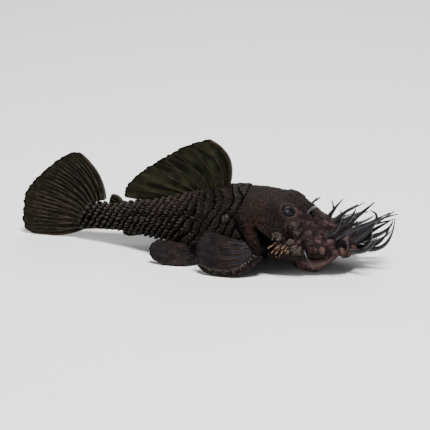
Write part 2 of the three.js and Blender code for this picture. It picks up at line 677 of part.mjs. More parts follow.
// Fins on the middle line
const taper = (from, to) => (u, r) => lerp(from, to, smoothstep(r, 0, 0.9));
const rayRidge = (from, to) => (u, r) => lerp(from, to, r);
const leading = (ridge, extra) => (u, r) => ridge(u, r) + (u === 0 ? extra * (1 - 0.6 * r) : 0);
const dorsal = finSolid({
  ...DORSAL,
  rows: 6,
  sheet: uprightSheet(DORSAL),
  thick: taper(0.9, 0.5),
  ridge: leading(rayRidge(0.7, 0.25), 0.5),
});
addNode("dorsal_fin", dorsal.subtract(clearance), "fin");
const adipose = finSolid({
  ...ADIPOSE,
  rows: 4,
  sheet: uprightSheet(ADIPOSE),
  thick: taper(0.9, 0.6),
  ridge: leading(rayRidge(0.1, 0.1), 0.7),
});
addNode("adipose_fin", adipose.subtract(clearance), "fin");
const anal = finSolid({
  ...ANAL,
  rows: 4,
  sheet: uprightSheet(ANAL),
  thick: taper(0.9, 0.5),
  ridge: rayRidge(0.5, 0.2),
});
addNode("anal_fin", anal.subtract(clearance), "fin");

// Tail fin: its roots follow the end of the tail stalk
const tailRoots = (u) => {
  const a = rad(lerp(97, 192, u));
  const radius = TAIL_BASE.radius - 1.4;
  const x = TAIL_BASE.x + radius * Math.cos(a);
  return vec(x, spineY(-x), TAIL_BASE.z + radius * Math.sin(a));
};
const stalkDepth = (u) => 1.2 + 2.6 * Math.sin(Math.PI * u) ** 0.7;
const caudal = finSolid({
  ...CAUDAL,
  rows: 7,
  sheet: bentSheet(tailRoots, uprightCurve(CAUDAL.bends), uprightCurve(CAUDAL.tips)),
  thick: (u, r) => lerp(stalkDepth(u), 0.5, smoothstep(r, -0.1, 0.42)),
  ridge: leading(rayRidge(0.5, 0.2), 0.4),
});
const stalkRoom = arc(GAP, 2 * TAIL_BASE.radius);
addNode("caudal_fin", onFloor(caudal.subtract(stalkRoom)), "fin");

// Paired fins
[0, 1].forEach((index) => {
  const turned = (sheet) => (index ? mirrorSheet(sheet) : sheet);
  const sheet = turned(sideSheet(PECTORAL));
  const web = finSolid({
    ...PECTORAL,
    rows: 6,
    sheet,
    thick: taper(1.0, 0.5),
    ridge: rayRidge(0.6, 0.25),
  });
  const edge = new THREE.CatmullRomCurve3([0, 0.25, 0.5, 0.75, 1].map((r) => sheet(0, r)));
  const spine = tube(edge, (t) => lerp(SPINE.root, SPINE.tip, t), 7, 7);
  const thorns = Array.from({ length: SPINE.thorns }, (_, i) => {
    const t = lerp(0.12, 0.72, i / (SPINE.thorns - 1));
    const centre = edge.getPointAt(t);
    const up = sheet(0.12, t).sub(centre).normalize().add(ofSide(index, vec(0, -0.5, 0))).normalize();
    const root = centre.clone().addScaledVector(up, lerp(SPINE.root, SPINE.tip, t) - 0.4);
    const tip = root.clone().addScaledVector(up, 0.4 + SPINE.thorn).add(vec(-0.4, 0, 0));
    return tube(new THREE.LineCurve3(root, tip), (r) => lerp(0.42, 0.16, r), 1, 4);
  });
  const fin = union([web, spine, ...thorns]).subtract(clearance).subtract(coverBlob(index, GAP));
  addNode("pectoral_fin_" + SIDES[index], onFloor(fin), "fin");

  const pelvic = finSolid({
    ...PELVIC,
    rows: 6,
    sheet: turned(sideSheet(PELVIC)),
    thick: taper(1.0, 0.5),
    ridge: leading(rayRidge(0.6, 0.25), 0.7),
  });
  addNode("pelvic_fin_" + SIDES[index], onFloor(pelvic.subtract(clearance)), "fin");
});

// The whole fish, moved so that the middle of its box's bottom is the origin
const model = new THREE.Group();
nodes.forEach((node) => model.add(node));
const box = new THREE.Box3().setFromObject(model);
const centre = box.getCenter(vec(0, 0, 0));
nodes.forEach((node) => node.geometry.translate(-centre.x, -centre.y, -box.min.z));
export default model;
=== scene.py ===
from functools import partial

import bpy
import numpy as np
from mathutils import Matrix, Vector
from numpy import arange, array, clip, concatenate, cos, cross, gradient, interp, linspace, maximum
from numpy import meshgrid, minimum, pi, radians, repeat, sign, sin, sqrt, stack, tile, vstack


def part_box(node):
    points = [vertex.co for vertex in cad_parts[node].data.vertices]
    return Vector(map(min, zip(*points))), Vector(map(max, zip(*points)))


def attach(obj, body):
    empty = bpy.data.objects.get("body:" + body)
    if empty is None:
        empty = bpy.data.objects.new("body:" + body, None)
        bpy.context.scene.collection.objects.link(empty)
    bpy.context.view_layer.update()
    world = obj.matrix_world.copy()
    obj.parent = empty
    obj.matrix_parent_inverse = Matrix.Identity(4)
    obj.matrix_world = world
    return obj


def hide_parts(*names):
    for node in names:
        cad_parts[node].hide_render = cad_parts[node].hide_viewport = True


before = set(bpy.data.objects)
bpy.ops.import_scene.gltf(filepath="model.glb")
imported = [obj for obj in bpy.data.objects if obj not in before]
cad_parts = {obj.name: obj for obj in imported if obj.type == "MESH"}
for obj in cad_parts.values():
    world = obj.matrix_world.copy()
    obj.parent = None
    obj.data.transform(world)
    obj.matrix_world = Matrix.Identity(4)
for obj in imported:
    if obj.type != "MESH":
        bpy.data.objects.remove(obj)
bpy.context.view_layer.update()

# Looks of a bristlenose pleco. Sizes are in millimetres in the fish's own frame, as in the solids:
# X is 0 at the snout tip and points forward, +Y is the fish's left, and Z is 0 on the floor.
# A distance s is measured backwards from the snout tip, so that X is -s.
MM = 0.001
TURN = 2 * pi
# Share of the full number of points on the skins
FINE = 1.0
# Share of a screen colour that a surface has by itself: the lights add the rest
LIT = 0.5

# The sucker mouth's middle, whose place in the scene's frame is known, ties the two frames together
MOUTH = {"s": 15.4, "long": 0.82, "wide": 0.95}
mouth_low, mouth_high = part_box("mouth")
mouth_x, mouth_y = (mouth_low.x + mouth_high.x) / 2 / MM, (mouth_low.y + mouth_high.y) / 2 / MM
SHIFT = array([mouth_x + MOUTH["s"], mouth_y, 0])

# Sections of the body: s, half width, top, level of the widest point, bottom, and the powers of the
# section's upper and lower curves
STATIONS = array([
    [0, 0, 7.9, 7.8, 7.7, 2, 2],
    [0.4, 3.8, 9.2, 7.8, 6.6, 2, 2.2],
    [1.4, 6.8, 10.6, 7.9, 6, 2, 2.4],
    [4, 10.2, 12.4, 8.2, 5.6, 1.9, 2.6],
    [8, 12.6, 13.7, 8.6, 5.4, 1.8, 3],
    [14, 14.6, 17.4, 9, 5.3, 1.8, 3],
    [20, 15.8, 21.8, 9.4, 5.1, 1.9, 3],
    [26, 16.4, 24.3, 9.7, 4.9, 2, 3],
    [34, 16.7, 25.3, 10, 4.6, 2.1, 3],
    [42, 16.2, 25.4, 10.3, 4.3, 2, 3],
    [50, 14.7, 24.2, 10.5, 4.2, 1.9, 2.8],
    [61, 11.8, 21.3, 10.4, 4.6, 1.9, 2.6],
    [72, 8.7, 17.8, 10.1, 5.2, 2, 2.4],
    [84, 5.6, 14.8, 9.6, 5.1, 2.2, 2.3],
    [93, 3.9, 13.7, 9.2, 4.4, 2.3, 2.3],
    [104, 2.2, 14.4, 9, 3, 2.2, 2.2],
])
# The body swings to the left by BEND between the other two, which are values of s
BEND_START, BEND_END, BEND = 45, 100, 5.2
# The arc on which the skin ends and the tail fin starts
TAIL_BASE = {"x": -90.3, "z": 5.7, "radius": 10.6}

# Eye and nostril stand at s and y on the back. The middle of the eyeball lies "sunk" below the top of
# the orbit, the low rise of the skin round it. "flap" is the height of the nostril's flap.
EYE = {"s": 23.6, "y": 9.1, "radius": 3.2, "sunk": 2.4}
ORBIT = {"rise": 0.4, "reach": 4.2, "rim": 2.75, "thickness": 0.4}
NOSTRIL = {"s": 17.1, "y": 4.2, "radius": 0.95, "thickness": 0.36, "flap": 3.6}
# The lip's section from its outer edge over the roll to the middle, as [radius, height]
MOUTH_PROFILE = [
    [5.6, 7.4], [6.9, 6.2], [7.4, 5.2], [8, 4.7], [9, 4.5], [9.7, 3.5], [9.9, 2.2], [9.7, 0.9],
    [9.2, 0.05], [8.4, 0], [6.9, 0], [5.4, 0.9], [3.4, 2.4], [0, 3.2],
]
# The ridge of the shoulder girdle behind the gill slit, and the pale spot above it
SHOULDER = {
    "path": [[-39.4, -12.6, 19.2], [-37, -14.2, 16.6], [-34.4, -15.4, 12.8], [-32.2, -16.3, 9.4]],
    "radius": 2.4,
    "end": 2.3,
}
SPOT = {"s": 44, "y": 13.3, "radius": 1.8, "rise": 0.5}
# The head shield's rear edge, as [z, s]
SHIELD = [[4, 36], [15, 36.4], [17.5, 37.3], [18.6, 38.6], [20.7, 40.1], [22.7, 39.8], [25.3, 38.5]]
# Forms on the side of the head: a path of [s, z], its radius, the width over which its edge fades, its
# lift, which is negative in hollows, and how much painted shade darkens it
CHEEK_FORMS = [
    ([[31.8, 16.9], [28.6, 15.6], [25.4, 15.2]], 2, 1.5, 0.75, 0),
    ([[19, 7.4], [23, 6.9], [27, 6.9], [30.4, 7.7]], 1.4, 1.4, 0.7, 0),
    ([[33.3, 16], [31.4, 14.6], [29.4, 13.2], [27.4, 12.6], [25.4, 12.7]], 0.3, 0.6, -1.3, 1),
    ([[32, 14], [31, 13], [30.6, 12]], 0.7, 0.9, -1.3, 1),
    ([[30.8, 12], [30.6, 10], [30.4, 8]], 0.6, 0.9, -1, 0.75),
    ([[28.6, 12], [28.4, 10.4], [27.4, 9]], 0.9, 1.1, -0.6, 0.55),
    ([[22.8, 15], [22.4, 14.3]], 0.5, 1.6, -0.6, 0.7),
    ([[24.6, 18.6], [25.2, 17], [24.2, 16]], 0.05, 0.5, -0.25, 0.4),
    ([[6.5, 6.9], [10, 6.4], [13, 6.1], [16.5, 6]], 0.6, 0.9, -1.5, 0.9),
    ([[17.7, 12.6], [17.3, 11], [16.6, 9.6]], 0.2, 0.7, -0.6, 0.6),
]
# Cheek spines: the line their roots stand on, the tips of the long ones, and the clumps of blunt
# grains round them as [s, z, reach, count, rise above the skin]
FAN_ROOTS = [[25.4, 12.7], [22.2, 12]]
FAN_TIPS = [
    [29.1, 10.6], [28.2, 11.3], [26.7, 10.5], [25.8, 11], [24.4, 10.8], [27.9, 8.9], [26.5, 8.7],
    [26.3, 7.4], [24.5, 9.1], [25.2, 8], [23.4, 9.8], [22.3, 9.4], [22.9, 8.4],
]
CLUMPS = [
    [26.3, 14.8, 1.9, 60, 0.5], [21.8, 12.9, 0.9, 18, 0],
    [20, 10.6, 1.7, 44, 0], [19.6, 9.3, 1.3, 26, 0],
]
# Swellings of the snout: s, angle round the section, radius and pinkness
SWELLINGS = [
    [2, 155, 1.7, 0.9], [5, 167, 1.7, 0.9], [9.2, 148, 2.4, 0.1], [11.6, 168, 1.4, 1],
    [13.8, 170, 1.2, 0.7], [15.2, 171, 1.1, 0.5], [3.2, 186, 1.3, 0.6], [7.2, 178, 1.5, 0.4],
    [5.8, 138, 1.6, 0.5], [0.9, 180, 1.2, 0.8], [2, 128, 1.4, 0.6], [8.4, 128, 1.5, 0.3],
    [1, 100, 1.3, 0.6],
]

# Bony plates: rows between these angles round the section, in columns that start at s and shrink from
# the first one's length. Downwards they run back by "lean" per millimetre, or "tail_lean" on the tail.
# They rise this much, and are broken into lumps of this length.
ROW_BORDERS = array([90, 62, 34, 8, -20, -48])
PLATE = {
    "start": 44, "length": 3.1, "shrink": 0.022,
    "rise": 0.75, "lean": 0.72, "tail_lean": 0.45, "lump": 1.1,
}

# Bristles: root, bend and tip, and for some the tip of a fork that parts half way
BRISTLES = [
    [[-11.8, 2, 15.4], [-10, 3, 18.6], [-7.1, 4, 22.3], [-10.7, 3, 22]],
    [[-10, 3, 14], [-6.3, 4, 17.6], [-2.2, 6, 20], [-0.2, 6.4, 20.6]],
    [[-6.5, 1, 12.8], [-1.2, 4, 17.2], [3.5, 6, 21.4]],
    [[-11.5, -8.6, 12.6], [-6.9, -10, 17], [-6.4, -9, 23], [-4.4, -10, 18.4]],
    [[-7.6, -4, 13], [-4, -4, 17.8], [-2, -3, 21.7]],
    [[-8.9, -8.4, 11.4], [0.8, -9, 18], [12, -5, 21.6], [9.6, -7, 22.6]],
    [[-3.2, -1, 11.2], [3.3, 0, 15.2], [10.6, 2, 20.1], [10.9, 1, 17.6]],
    [[-2.9, -4, 11.2], [-1.2, -5, 15.2], [-1.6, -5, 18.4]],
    [[-1.4, 0.6, 9.2], [4.3, 2, 13.1], [9.1, 3, 16]],
    [[-1.6, 2.4, 8.6], [6.7, 1, 12.3], [10.1, 2, 16.5]],
    [[-1.6, -3, 7.8], [3.1, -6, 11], [3.6, -8, 18.2]],
    [[-1, -1, 7.6], [7.6, -3, 9.2], [11.1, -4, 19.1]],
    [[-1, 1, 7.6], [5.6, 0, 8.9], [9.7, -1, 16.5]],
    [[-3, -5, 10.4], [4.8, -6, 18.6], [2.9, -6, 22.6]],
    [[-5.6, -9.2, 11.2], [-3.4, -12.4, 12.7], [-3.5, -12, 9.9]],
    [[-4.6, -7.6, 8.8], [2.2, -9.6, 9.6], [5.8, -10.2, 14.6]],
    [[-4.2, 7.4, 8.8], [2, 10.4, 8.8], [5.6, 11.6, 11.4]],
    [[-2.2, 4.6, 8], [4.6, 6.4, 7.4], [9.4, 7.2, 11]],
    [[-6.8, 9.4, 10.4], [-1.2, 12.6, 11.4], [2.8, 14, 13.6]],
    [[-9.6, 9.4, 11.8], [-5.6, 13.6, 11.8], [-1.2, 15.6, 13.2]],
    [[-12.2, 11.4, 10.8], [-9.6, 15.6, 11.2], [-5.6, 17.6, 12.2]],
    [[-8, 6, 13.4], [-3.6, 8.6, 15.4], [1.2, 9.4, 16.4]],
]
# Radii of a long bristle's root, of a short one's and of the tips, and what counts as long
BRISTLE = {"root": 1, "slender": 0.68, "tip": 0.16, "long": 15}
BARBEL = [[-17.4, -13.6, 10.2], [-17, -17, 9.6], [-15.2, -16.6, 6.6]]

# Fins: [s, z] of the roots, the bends of the rays and their tips for those on the middle line, and
# [x, y, z] on the right side for the paired ones. "grid" is the number of points along a ray and from
# ray to ray, "web" and "ray" are thicknesses at the root and the edge, "web_end" the shares of a ray
# between which the web thins, "deep" how much thicker its root is in the middle, "lead" the first
# ray's extra thickness, "forks" the shares of a ray at which it starts to part in two and in four,
# "brown" the share of brown flecks on the last rays, and "floor" the least height.
FIN = {"web_end": (0, 0.9), "deep": 0, "lead": 0, "brown": 0, "floor": 0.25}
DORSAL = FIN | {
    "rays": 9, "grid": (110, 40), "web": (0.8, 0.34), "ray": (0.5, 0.3), "lead": 0.6,
    "forks": (0.5, 0.9),
    "roots": [[46, 23.6], [51, 22.6], [56.4, 21.2], [62, 19.6]],
    "bends": [[41.2, 37], [50.6, 32], [60.6, 27.4], [73.5, 16.2]],
    "tips": [[53.1, 41.8], [60.2, 39.2], [69.6, 33.5], [79.4, 26.2], [84.6, 19.6], [84.4, 17.2]],
}
ADIPOSE = FIN | {
    "rays": 3, "grid": (30, 16), "web": (0.8, 0.5), "ray": (0.2, 0.2), "lead": 0.7, "forks": (2, 3),
    "roots": [[84.4, 14], [87, 13.2], [89.6, 12.6]],
    "bends": [[86, 18.6], [88.2, 16.6], [89.9, 14]],
    "tips": [[89.3, 17.6], [89.8, 16.4], [90.1, 15]],
}
ANAL = FIN | {
    "rays": 4, "grid": (40, 16), "web": (0.8, 0.4), "ray": (0.5, 0.25), "forks": (0.6, 2),
    "roots": [[74.6, 6.4], [76.4, 6.6], [78.6, 6.6]],
    "bends": [[77.8, 3.4], [80.2, 4], [81.6, 4.6]],
    "tips": [[83.4, 2.6], [85.2, 3.2], [85.4, 4.2]],
}
CAUDAL = FIN | {
    "rays": 14, "grid": (130, 34), "web": (1.2, 0.36), "ray": (0.5, 0.28), "lead": 0.4,
    "forks": (0.15, 0.5), "web_end": (-0.1, 0.3), "deep": 2.4, "brown": 0.8,
    "bends": [[91.4, 25.4], [102, 24.2], [107.6, 13.6], [109.5, 5.4], [109, -1.4]],
    "tips": [
        [100.6, 32.4], [104.2, 32.2], [109.6, 28.8], [118, 21.3], [122.3, 15.6], [123.5, 9.8],
        [123.8, 4.6], [123.4, 2.2], [120.4, 0.4],
    ],
}
PAIRED = FIN | {"web": (0.9, 0.36), "ray": (0.3, 0.15), "forks": (0, 0.2), "floor": 0.4}
PECTORAL = PAIRED | {
    "rays": 7, "grid": (90, 28),
    "roots": [[-31.6, -16.6, 8.2], [-33.4, -16.2, 10], [-35.6, -15.6, 11.4]],
    "bends": [[-40, -20.1, -2.9], [-42, -19.6, 7], [-42.4, -18.9, 14.2]],
    "tips": [[-52.4, -18.3, 3.2], [-53.3, -18.4, 7.6], [-52.8, -18.6, 12], [-50.2, -18.2, 15.6]],
}
PELVIC = PAIRED | {
    "rays": 6, "grid": (80, 28), "lead": 0.7,
    "roots": [[-51.5, -9.5, 5.6], [-53.4, -9, 6.2], [-55.2, -8.8, 7]],
    "bends": [[-58.2, -14.4, -2.2], [-60.2, -14.8, 3.4], [-60.6, -14.9, 8.8]],
    "tips": [
        [-66.5, -13.7, 0.6], [-70.2, -13.4, 2.2], [-71.1, -13.1, 4.8], [-70.3, -12.8, 7.2],
        [-67.8, -12.6, 9],
    ],
}
# How far each half of a forked ray ends from the ray's middle, as a share of the space between rays
FORK = 0.25
# The pectoral fin's thick first ray: radii at its root and tip, and its row of thorns
SPINE = {"root": 1.56, "tip": 1, "thorns": 26, "thorn": 0.8}

# All random draws but those of ripples and ragged edges, which have seeds of their own
rng = np.random.default_rng(11)
draw = rng.uniform


# Numbers and curves


def ramp(low, high, x):
    """Rises smoothly from 0 at low to 1 at high."""
    t = clip((x - low) / (high - low), 0, 1)
    return t * t * (3 - 2 * t)


def lerp(a, b, t):
    return a + (b - a) * t


def hump(x, width, power=2):
    """1 where x is 0, and next to nothing farther from there than about twice the width."""
    return np.exp(-((x / width) ** power))


def steps(count):
    return linspace(0, 1, count)


def norm(v):
    return np.linalg.norm(v, axis=-1)


def unit(v):
    return v / maximum(norm(v)[..., None], 1e-9)


def xyz(x, y, z):
    return stack(np.broadcast_arrays(x, y, z), axis=-1)


def run(line):
    """How far along a line each of its points lies."""
    return concatenate([[0], np.cumsum(norm(np.diff(line, axis=0)))])


def monotone(xs, ys):
    """A smooth curve through the stations that never overshoots them."""
    rises = np.diff(ys) / np.diff(xs)
    slopes = rises[np.r_[0, : len(rises)]]
    a, b = rises[:-1], rises[1:]
    slopes[1:-1] = np.where(a * b > 0, 2 * a * b / np.where(a + b == 0, 1, a + b), 0)

    def curve(x):
        x = clip(x, xs[0], xs[-1])
        i = clip(np.searchsorted(xs, x, side="right") - 1, 0, len(xs) - 2)
        h = xs[i + 1] - xs[i]
        t = (x - xs[i]) / h
        keep = (1 + 2 * t) * (1 - t) ** 2
        leave = t * (1 - t) ** 2 * h
        enter = t * t * (t - 1) * h
        return ys[i] * keep + ys[i + 1] * (1 - keep) + slopes[i] * leave + slopes[i + 1] * enter

    return curve


half_width, top_at, middle_at, bottom_at, upper_power, lower_power = (
    monotone(STATIONS[:, 0], STATIONS[:, column]) for column in range(1, 7)
)


def spine_y(s):
    return BEND * ramp(BEND_START, BEND_END, s)


def ripple(p, scale, seed):
    """Smooth noise from about -1 to 1, with features of about the given size."""
    waves = 7
    local = np.random.default_rng(seed)
    total = 0
    for _ in range(waves):
        direction = unit(local.normal(size=3)) * TURN / (scale * local.uniform(1.4, 3.2))
        total = total + sin(p @ direction + local.uniform(0, TURN))
    return total / waves**0.5 / 1.4


def section(s, up):
    """Power and height of the skin's section, above or below its widest point."""
    height = np.where(up, top_at(s) - middle_at(s), middle_at(s) - bottom_at(s))
    return np.where(up, upper_power(s), lower_power(s)), height


def skin_point(s, a):
    """The smooth skin at s, at an angle a round the section: 0 left, 90 degrees the back."""
    c, n = cos(a), sin(a)
    power, height = section(s, n >= 0)
    y = sign(c) * abs(c) ** (2 / power) * half_width(s)
    z = sign(n) * abs(n) ** (2 / power) * height
    return xyz(-s, spine_y(s) + y, middle_at(s) + z)


def skin_normal(s, a):
    along = skin_point(s + 0.2, a) - skin_point(s - 0.2, a)
    around = skin_point(s, a + 0.02) - skin_point(s, a - 0.02)
    return unit(cross(along, around))


def back_spot(s, y):
    """The point of the back at a sideways distance y from the middle, and the way out of the skin."""
    share = 1 - abs(y / half_width(s)) ** upper_power(s)
    z = (top_at(s) - middle_at(s)) * share ** (1 / upper_power(s))
    a = np.arctan2(share**0.5, sign(y) * abs(y / half_width(s)) ** (upper_power(s) / 2))
    return array([-s, spine_y(s) + y, middle_at(s) + z]), skin_normal(s, a)


def pair(form):
    """A form's spot on the back with the way out of the skin, on the right and on the left."""
    return [back_spot(form["s"], side * form["y"]) for side in (-1, 1)]


def side_spot(s, z, side):
    """The point of the smooth skin at a height z, on the fish's right (-1) or left (1)."""
    power, height = section(s, z >= middle_at(s))
    share = clip(1 - abs((z - middle_at(s)) / height) ** power, 0, 1)
    return xyz(-s, spine_y(s) + side * half_width(s) * share ** (1 / power), z)


def mirrored(points):
    """The same points on the fish's other side."""
    points = array(points, float)
    points[..., 1] = 2 * spine_y(-points[..., 0]) - points[..., 1]
    return points


def through(points):
    """A centripetal curve through points, as a function of the share of its length."""
    p = array(points, float)
    p = vstack([2 * p[0] - p[1], p, 2 * p[-1] - p[-2]])
    samples = []
    for i in range(1, len(p) - 2):
        gaps = norm(np.diff(p[i - 1 : i + 3], axis=0)) ** 0.5
        k = concatenate([[0], np.cumsum(gaps)])
        t = linspace(k[1], k[2], 60, endpoint=i == len(p) - 3)[:, None]
        a = [lerp(p[i - 1 + j], p[i + j], (t - k[j]) / (k[j + 1] - k[j])) for j in range(3)]
        b = [lerp(a[j], a[j + 1], (t - k[j]) / (k[j + 2] - k[j])) for j in range(2)]
        samples.append(lerp(b[0], b[1], (t - k[1]) / (k[2] - k[1])))
    line = vstack(samples)
    length = run(line)
    return lambda u: xyz(*(interp(u, length / length[-1], axis) for axis in line.T))


def upright(points):
    """The same through points [s, z] over the fish's middle line."""
    curve = through([[-s, 0, z] for s, z in points])

    def placed(u):
        x, _, z = np.moveaxis(curve(u), -1, 0)
        return xyz(x, spine_y(-x), z)

    return placed


def quadratic(a, b, c, t):
    """A curve that starts at a, passes b half way and ends at c."""
    a, b, c = array(a, float), array(b, float), array(c, float)
    control = 2 * b - (a + c) / 2
    t = t[:, None]
    return a * (1 - t) ** 2 + control * 2 * t * (1 - t) + c * t * t


# Meshes


def placed_object(name, data, place):
    thing = bpy.data.objects.new(name, data)
    thing.matrix_world = place
    bpy.context.scene.collection.objects.link(thing)
    return thing


def looking(place, out):
    """A place in metres, turned so that +Z looks in the direction out."""
    return Matrix.Translation(Vector(place)) @ Vector(out).to_track_quat("Z", "Y").to_matrix().to_4x4()


class Shape:
    """Vertices and faces that grow piece by piece and end as one mesh of quads."""

    def __init__(self):
        self.points, self.faces, self.marks, self.count = [], [], [], 0

    def add(self, points, faces, **marks):
        """Adds points and faces. Marks are values at the points that the materials read."""
        points = np.asarray(points, float).reshape(-1, 3)
        self.points.append(points)
        self.faces.append(np.asarray(faces) + self.count)
        self.marks.append({k: np.broadcast_to(v, len(points)).ravel() for k, v in marks.items()})
        self.count += len(points)

    def build(self, name, look, slot, replaced=(), uv=None, place=None):
        """Ends the mesh as a piece. Its points lie in the fish's frame, or round a place of its own."""
        points = vstack(self.points) + (SHIFT if place is None else 0)
        faces = vstack(self.faces)
        mesh = bpy.data.meshes.new(name)
        mesh.vertices.add(len(points))
        mesh.vertices.foreach_set("co", (points * MM).ravel())
        mesh.loops.add(faces.size)
        mesh.loops.foreach_set("vertex_index", faces.ravel())
        mesh.polygons.add(len(faces))
        mesh.polygons.foreach_set("loop_start", arange(0, faces.size, 4))
        mesh.polygons.foreach_set("use_smooth", np.ones(len(faces), bool))
        mesh.update(calc_edges=True)
        for key in sorted({k for marks in self.marks for k in marks}):
            values = [m.get(key, np.zeros(len(p))) for m, p in zip(self.marks, self.points)]
            mesh.attributes.new(key, "FLOAT", "POINT").data.foreach_set("value", concatenate(values))
        if uv is not None:
            mesh.uv_layers.new(name="OFBake").data.foreach_set("uv", uv[faces.ravel()].ravel())
        mesh.validate()
        mesh.materials.append(look)
        thing = placed_object(name, mesh, place or Matrix())
        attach(thing, "root")
        if replaced:
            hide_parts(*replaced)


def grid_faces(rows, columns, closed=True):
    """Quads of a grid of points, whose rows are rings if it is closed."""
    across = arange(columns if closed else columns - 1)
    i, j = meshgrid(arange(rows - 1) * columns, across, indexing="ij")
    k = (j + 1) % columns
    return stack([i + j, i + k, i + columns + k, i + columns + j], axis=-1).reshape(-1, 4)


def add_tube(shape, line, radius, sides, across=(0.13, 0.92, 0.37), flat=1.0, **marks):
    """A tube along a line of points, flattened at right angles to the direction across, and closed."""
    tangents = unit(gradient(line, axis=0))
    side = array(across)
    a = arange(sides)[:, None] / sides * TURN
    rings = []
    for point, tangent, r in zip(line, tangents, radius):
        side = unit(side - tangent * (side @ tangent))
        other = cross(tangent, side)
        rings.append(point + (cos(a) * side + sin(a) * other * flat) * r)
    rings = [tile(line[0], (sides, 1))] + rings + [tile(line[-1], (sides, 1))]
    ends = np.r_[0, : len(line), len(line) - 1]
    marks = {k: repeat((v + 0 * radius)[ends], sides) for k, v in marks.items()}
    shape.add(array(rings), grid_faces(len(rings), sides), **marks)


def add_spinelets(shape, roots, ways, lengths, radius, sides=4, pale=0.0):
    """Many small spines at once, each sunk a little below its root."""
    ways = unit(ways)
    across = unit(cross(ways, [0.31, 0.17, 0.93]))
    a = arange(sides)[:, None] / sides * TURN
    turn = cos(a) * across[:, None] + sin(a) * cross(ways, across)[:, None]
    # Shares of a spinelet's length, its thickness there and how much of the tip's colour it has
    stages = array([(-0.3, 1.0, 0), (0.45, 0.8, 0.5), (1.0, 0.12, 1)])
    rings = []
    for along, width, _ in stages:
        middle = roots + ways * (lengths * along)[:, None]
        rings.append(middle[:, None] + turn * radius * width)
    count, size = len(roots), len(stages) * sides
    faces = grid_faces(len(stages), sides) + arange(count)[:, None, None] * size
    tips = tile(repeat(stages[:, 2], sides), count)
    pale = repeat(np.broadcast_to(pale, count), size)
    shape.add(stack(rings, axis=1), faces.reshape(-1, 4), tip=tips, pale=pale)


# Materials


class Nodes:
    """A material's nodes, made and linked in short calls."""

    def __init__(self, name):
        self.material = bpy.data.materials.new(name)
        self.material.use_nodes = True
        self.tree = self.material.node_tree
        self.shader = self.tree.nodes["Principled BSDF"]
        self.place = self.make("TexCoord").outputs["Object"]

    def make(self, kind, inputs=(), **settings):
        """A node with its inputs by name, or in their own order."""
        node = self.tree.nodes.new("ShaderNode" + kind)
        for key, value in settings.items():
            setattr(node, key, value)
        for key, value in inputs.items() if isinstance(inputs, dict) else enumerate(inputs):
            self.put(node.inputs[key], value)
        return node

    def put(self, socket, value):
        """Links a socket or sets its value. Three numbers are a colour on the screen, from 0 to 255."""
        if isinstance(value, bpy.types.NodeSocket):
            self.tree.links.new(value, socket)
        else:
            is_tone = isinstance(value, tuple) and len(value) == 3
            socket.default_value = tone(*value) if is_tone else value

    def mark(self, name):
        return self.make("Attribute", attribute_name=name).outputs["Fac"]

    def math(self, operation, a, b=0.0):
        return self.make("Math", (a, b), operation=operation).outputs[0]

    def times(self, a, b):
        return self.math("MULTIPLY", a, b)

    def scaled(self, value, low, high, new_low=0.0, new_high=1.0):
        """A value from low to high, spread from new_low to new_high."""
        return self.make("MapRange", (value, low, high, new_low, new_high)).outputs["Result"]

    def mix(self, factor, a, b):
        names = {"Factor": factor, "A": a, "B": b}
        return self.make("Mix", names, data_type="RGBA").outputs["Result"]

    def noise(self, size, detail=3.0, rough=0.55):
        """Noise with features of about size millimetres."""
        scale = 1 / (2 * size * MM)
        names = {"Vector": self.place, "Scale": scale, "Detail": detail, "Roughness": rough}
        return self.make("TexNoise", names).outputs["Fac"]

    def mottled(self, a, b, size, low, high, most=1.0, detail=3.0):
        """A colour that turns from a to b, at most by a share, as noise rises from low to high."""
        return self.mix(self.scaled(self.noise(size, detail), low, high, 0, most), a, b)

    def marked(self, a, b, name, low=None, high=None, most=1.0):
        """A colour that turns from a to b with a mark, or as the mark rises from low to high."""
        share = self.mark(name)
        return self.mix(share if low is None else self.scaled(share, low, high, 0, most), a, b)

    def grains(self, size):
        names = {"Vector": self.place, "Scale": 1 / (size * MM)}
        return self.make("TexVoronoi", names).outputs["Distance"]

    def bump(self, height, depth, before=None):
        """A bump of about depth millimetres, on top of the bump before it."""
        names = {"Height": height, "Distance": depth * MM, "Strength": 1.0}
        if before is not None:
            names["Normal"] = before
        return self.make("Bump", names).outputs["Normal"]

    def finish(self, colour, rough, specular, bumps, **more):
        named = {
            "Base_Color": colour, "Roughness": rough, "Specular_IOR_Level": specular, "Normal": bumps,
            **more,
        }
        for key, value in named.items():
            self.put(self.shader.inputs[key.replace("_", " ")], value)
        return self.material


def tone(r, g, b):
    """A screen colour as the surface's own, which is the share LIT of it."""
    parts = [v / 255 / 12.92 if v < 10.3 else ((v / 255 + 0.055) / 1.055) ** 2.4 for v in (r, g, b)]
    return (*(part * LIT for part in parts), 1.0)


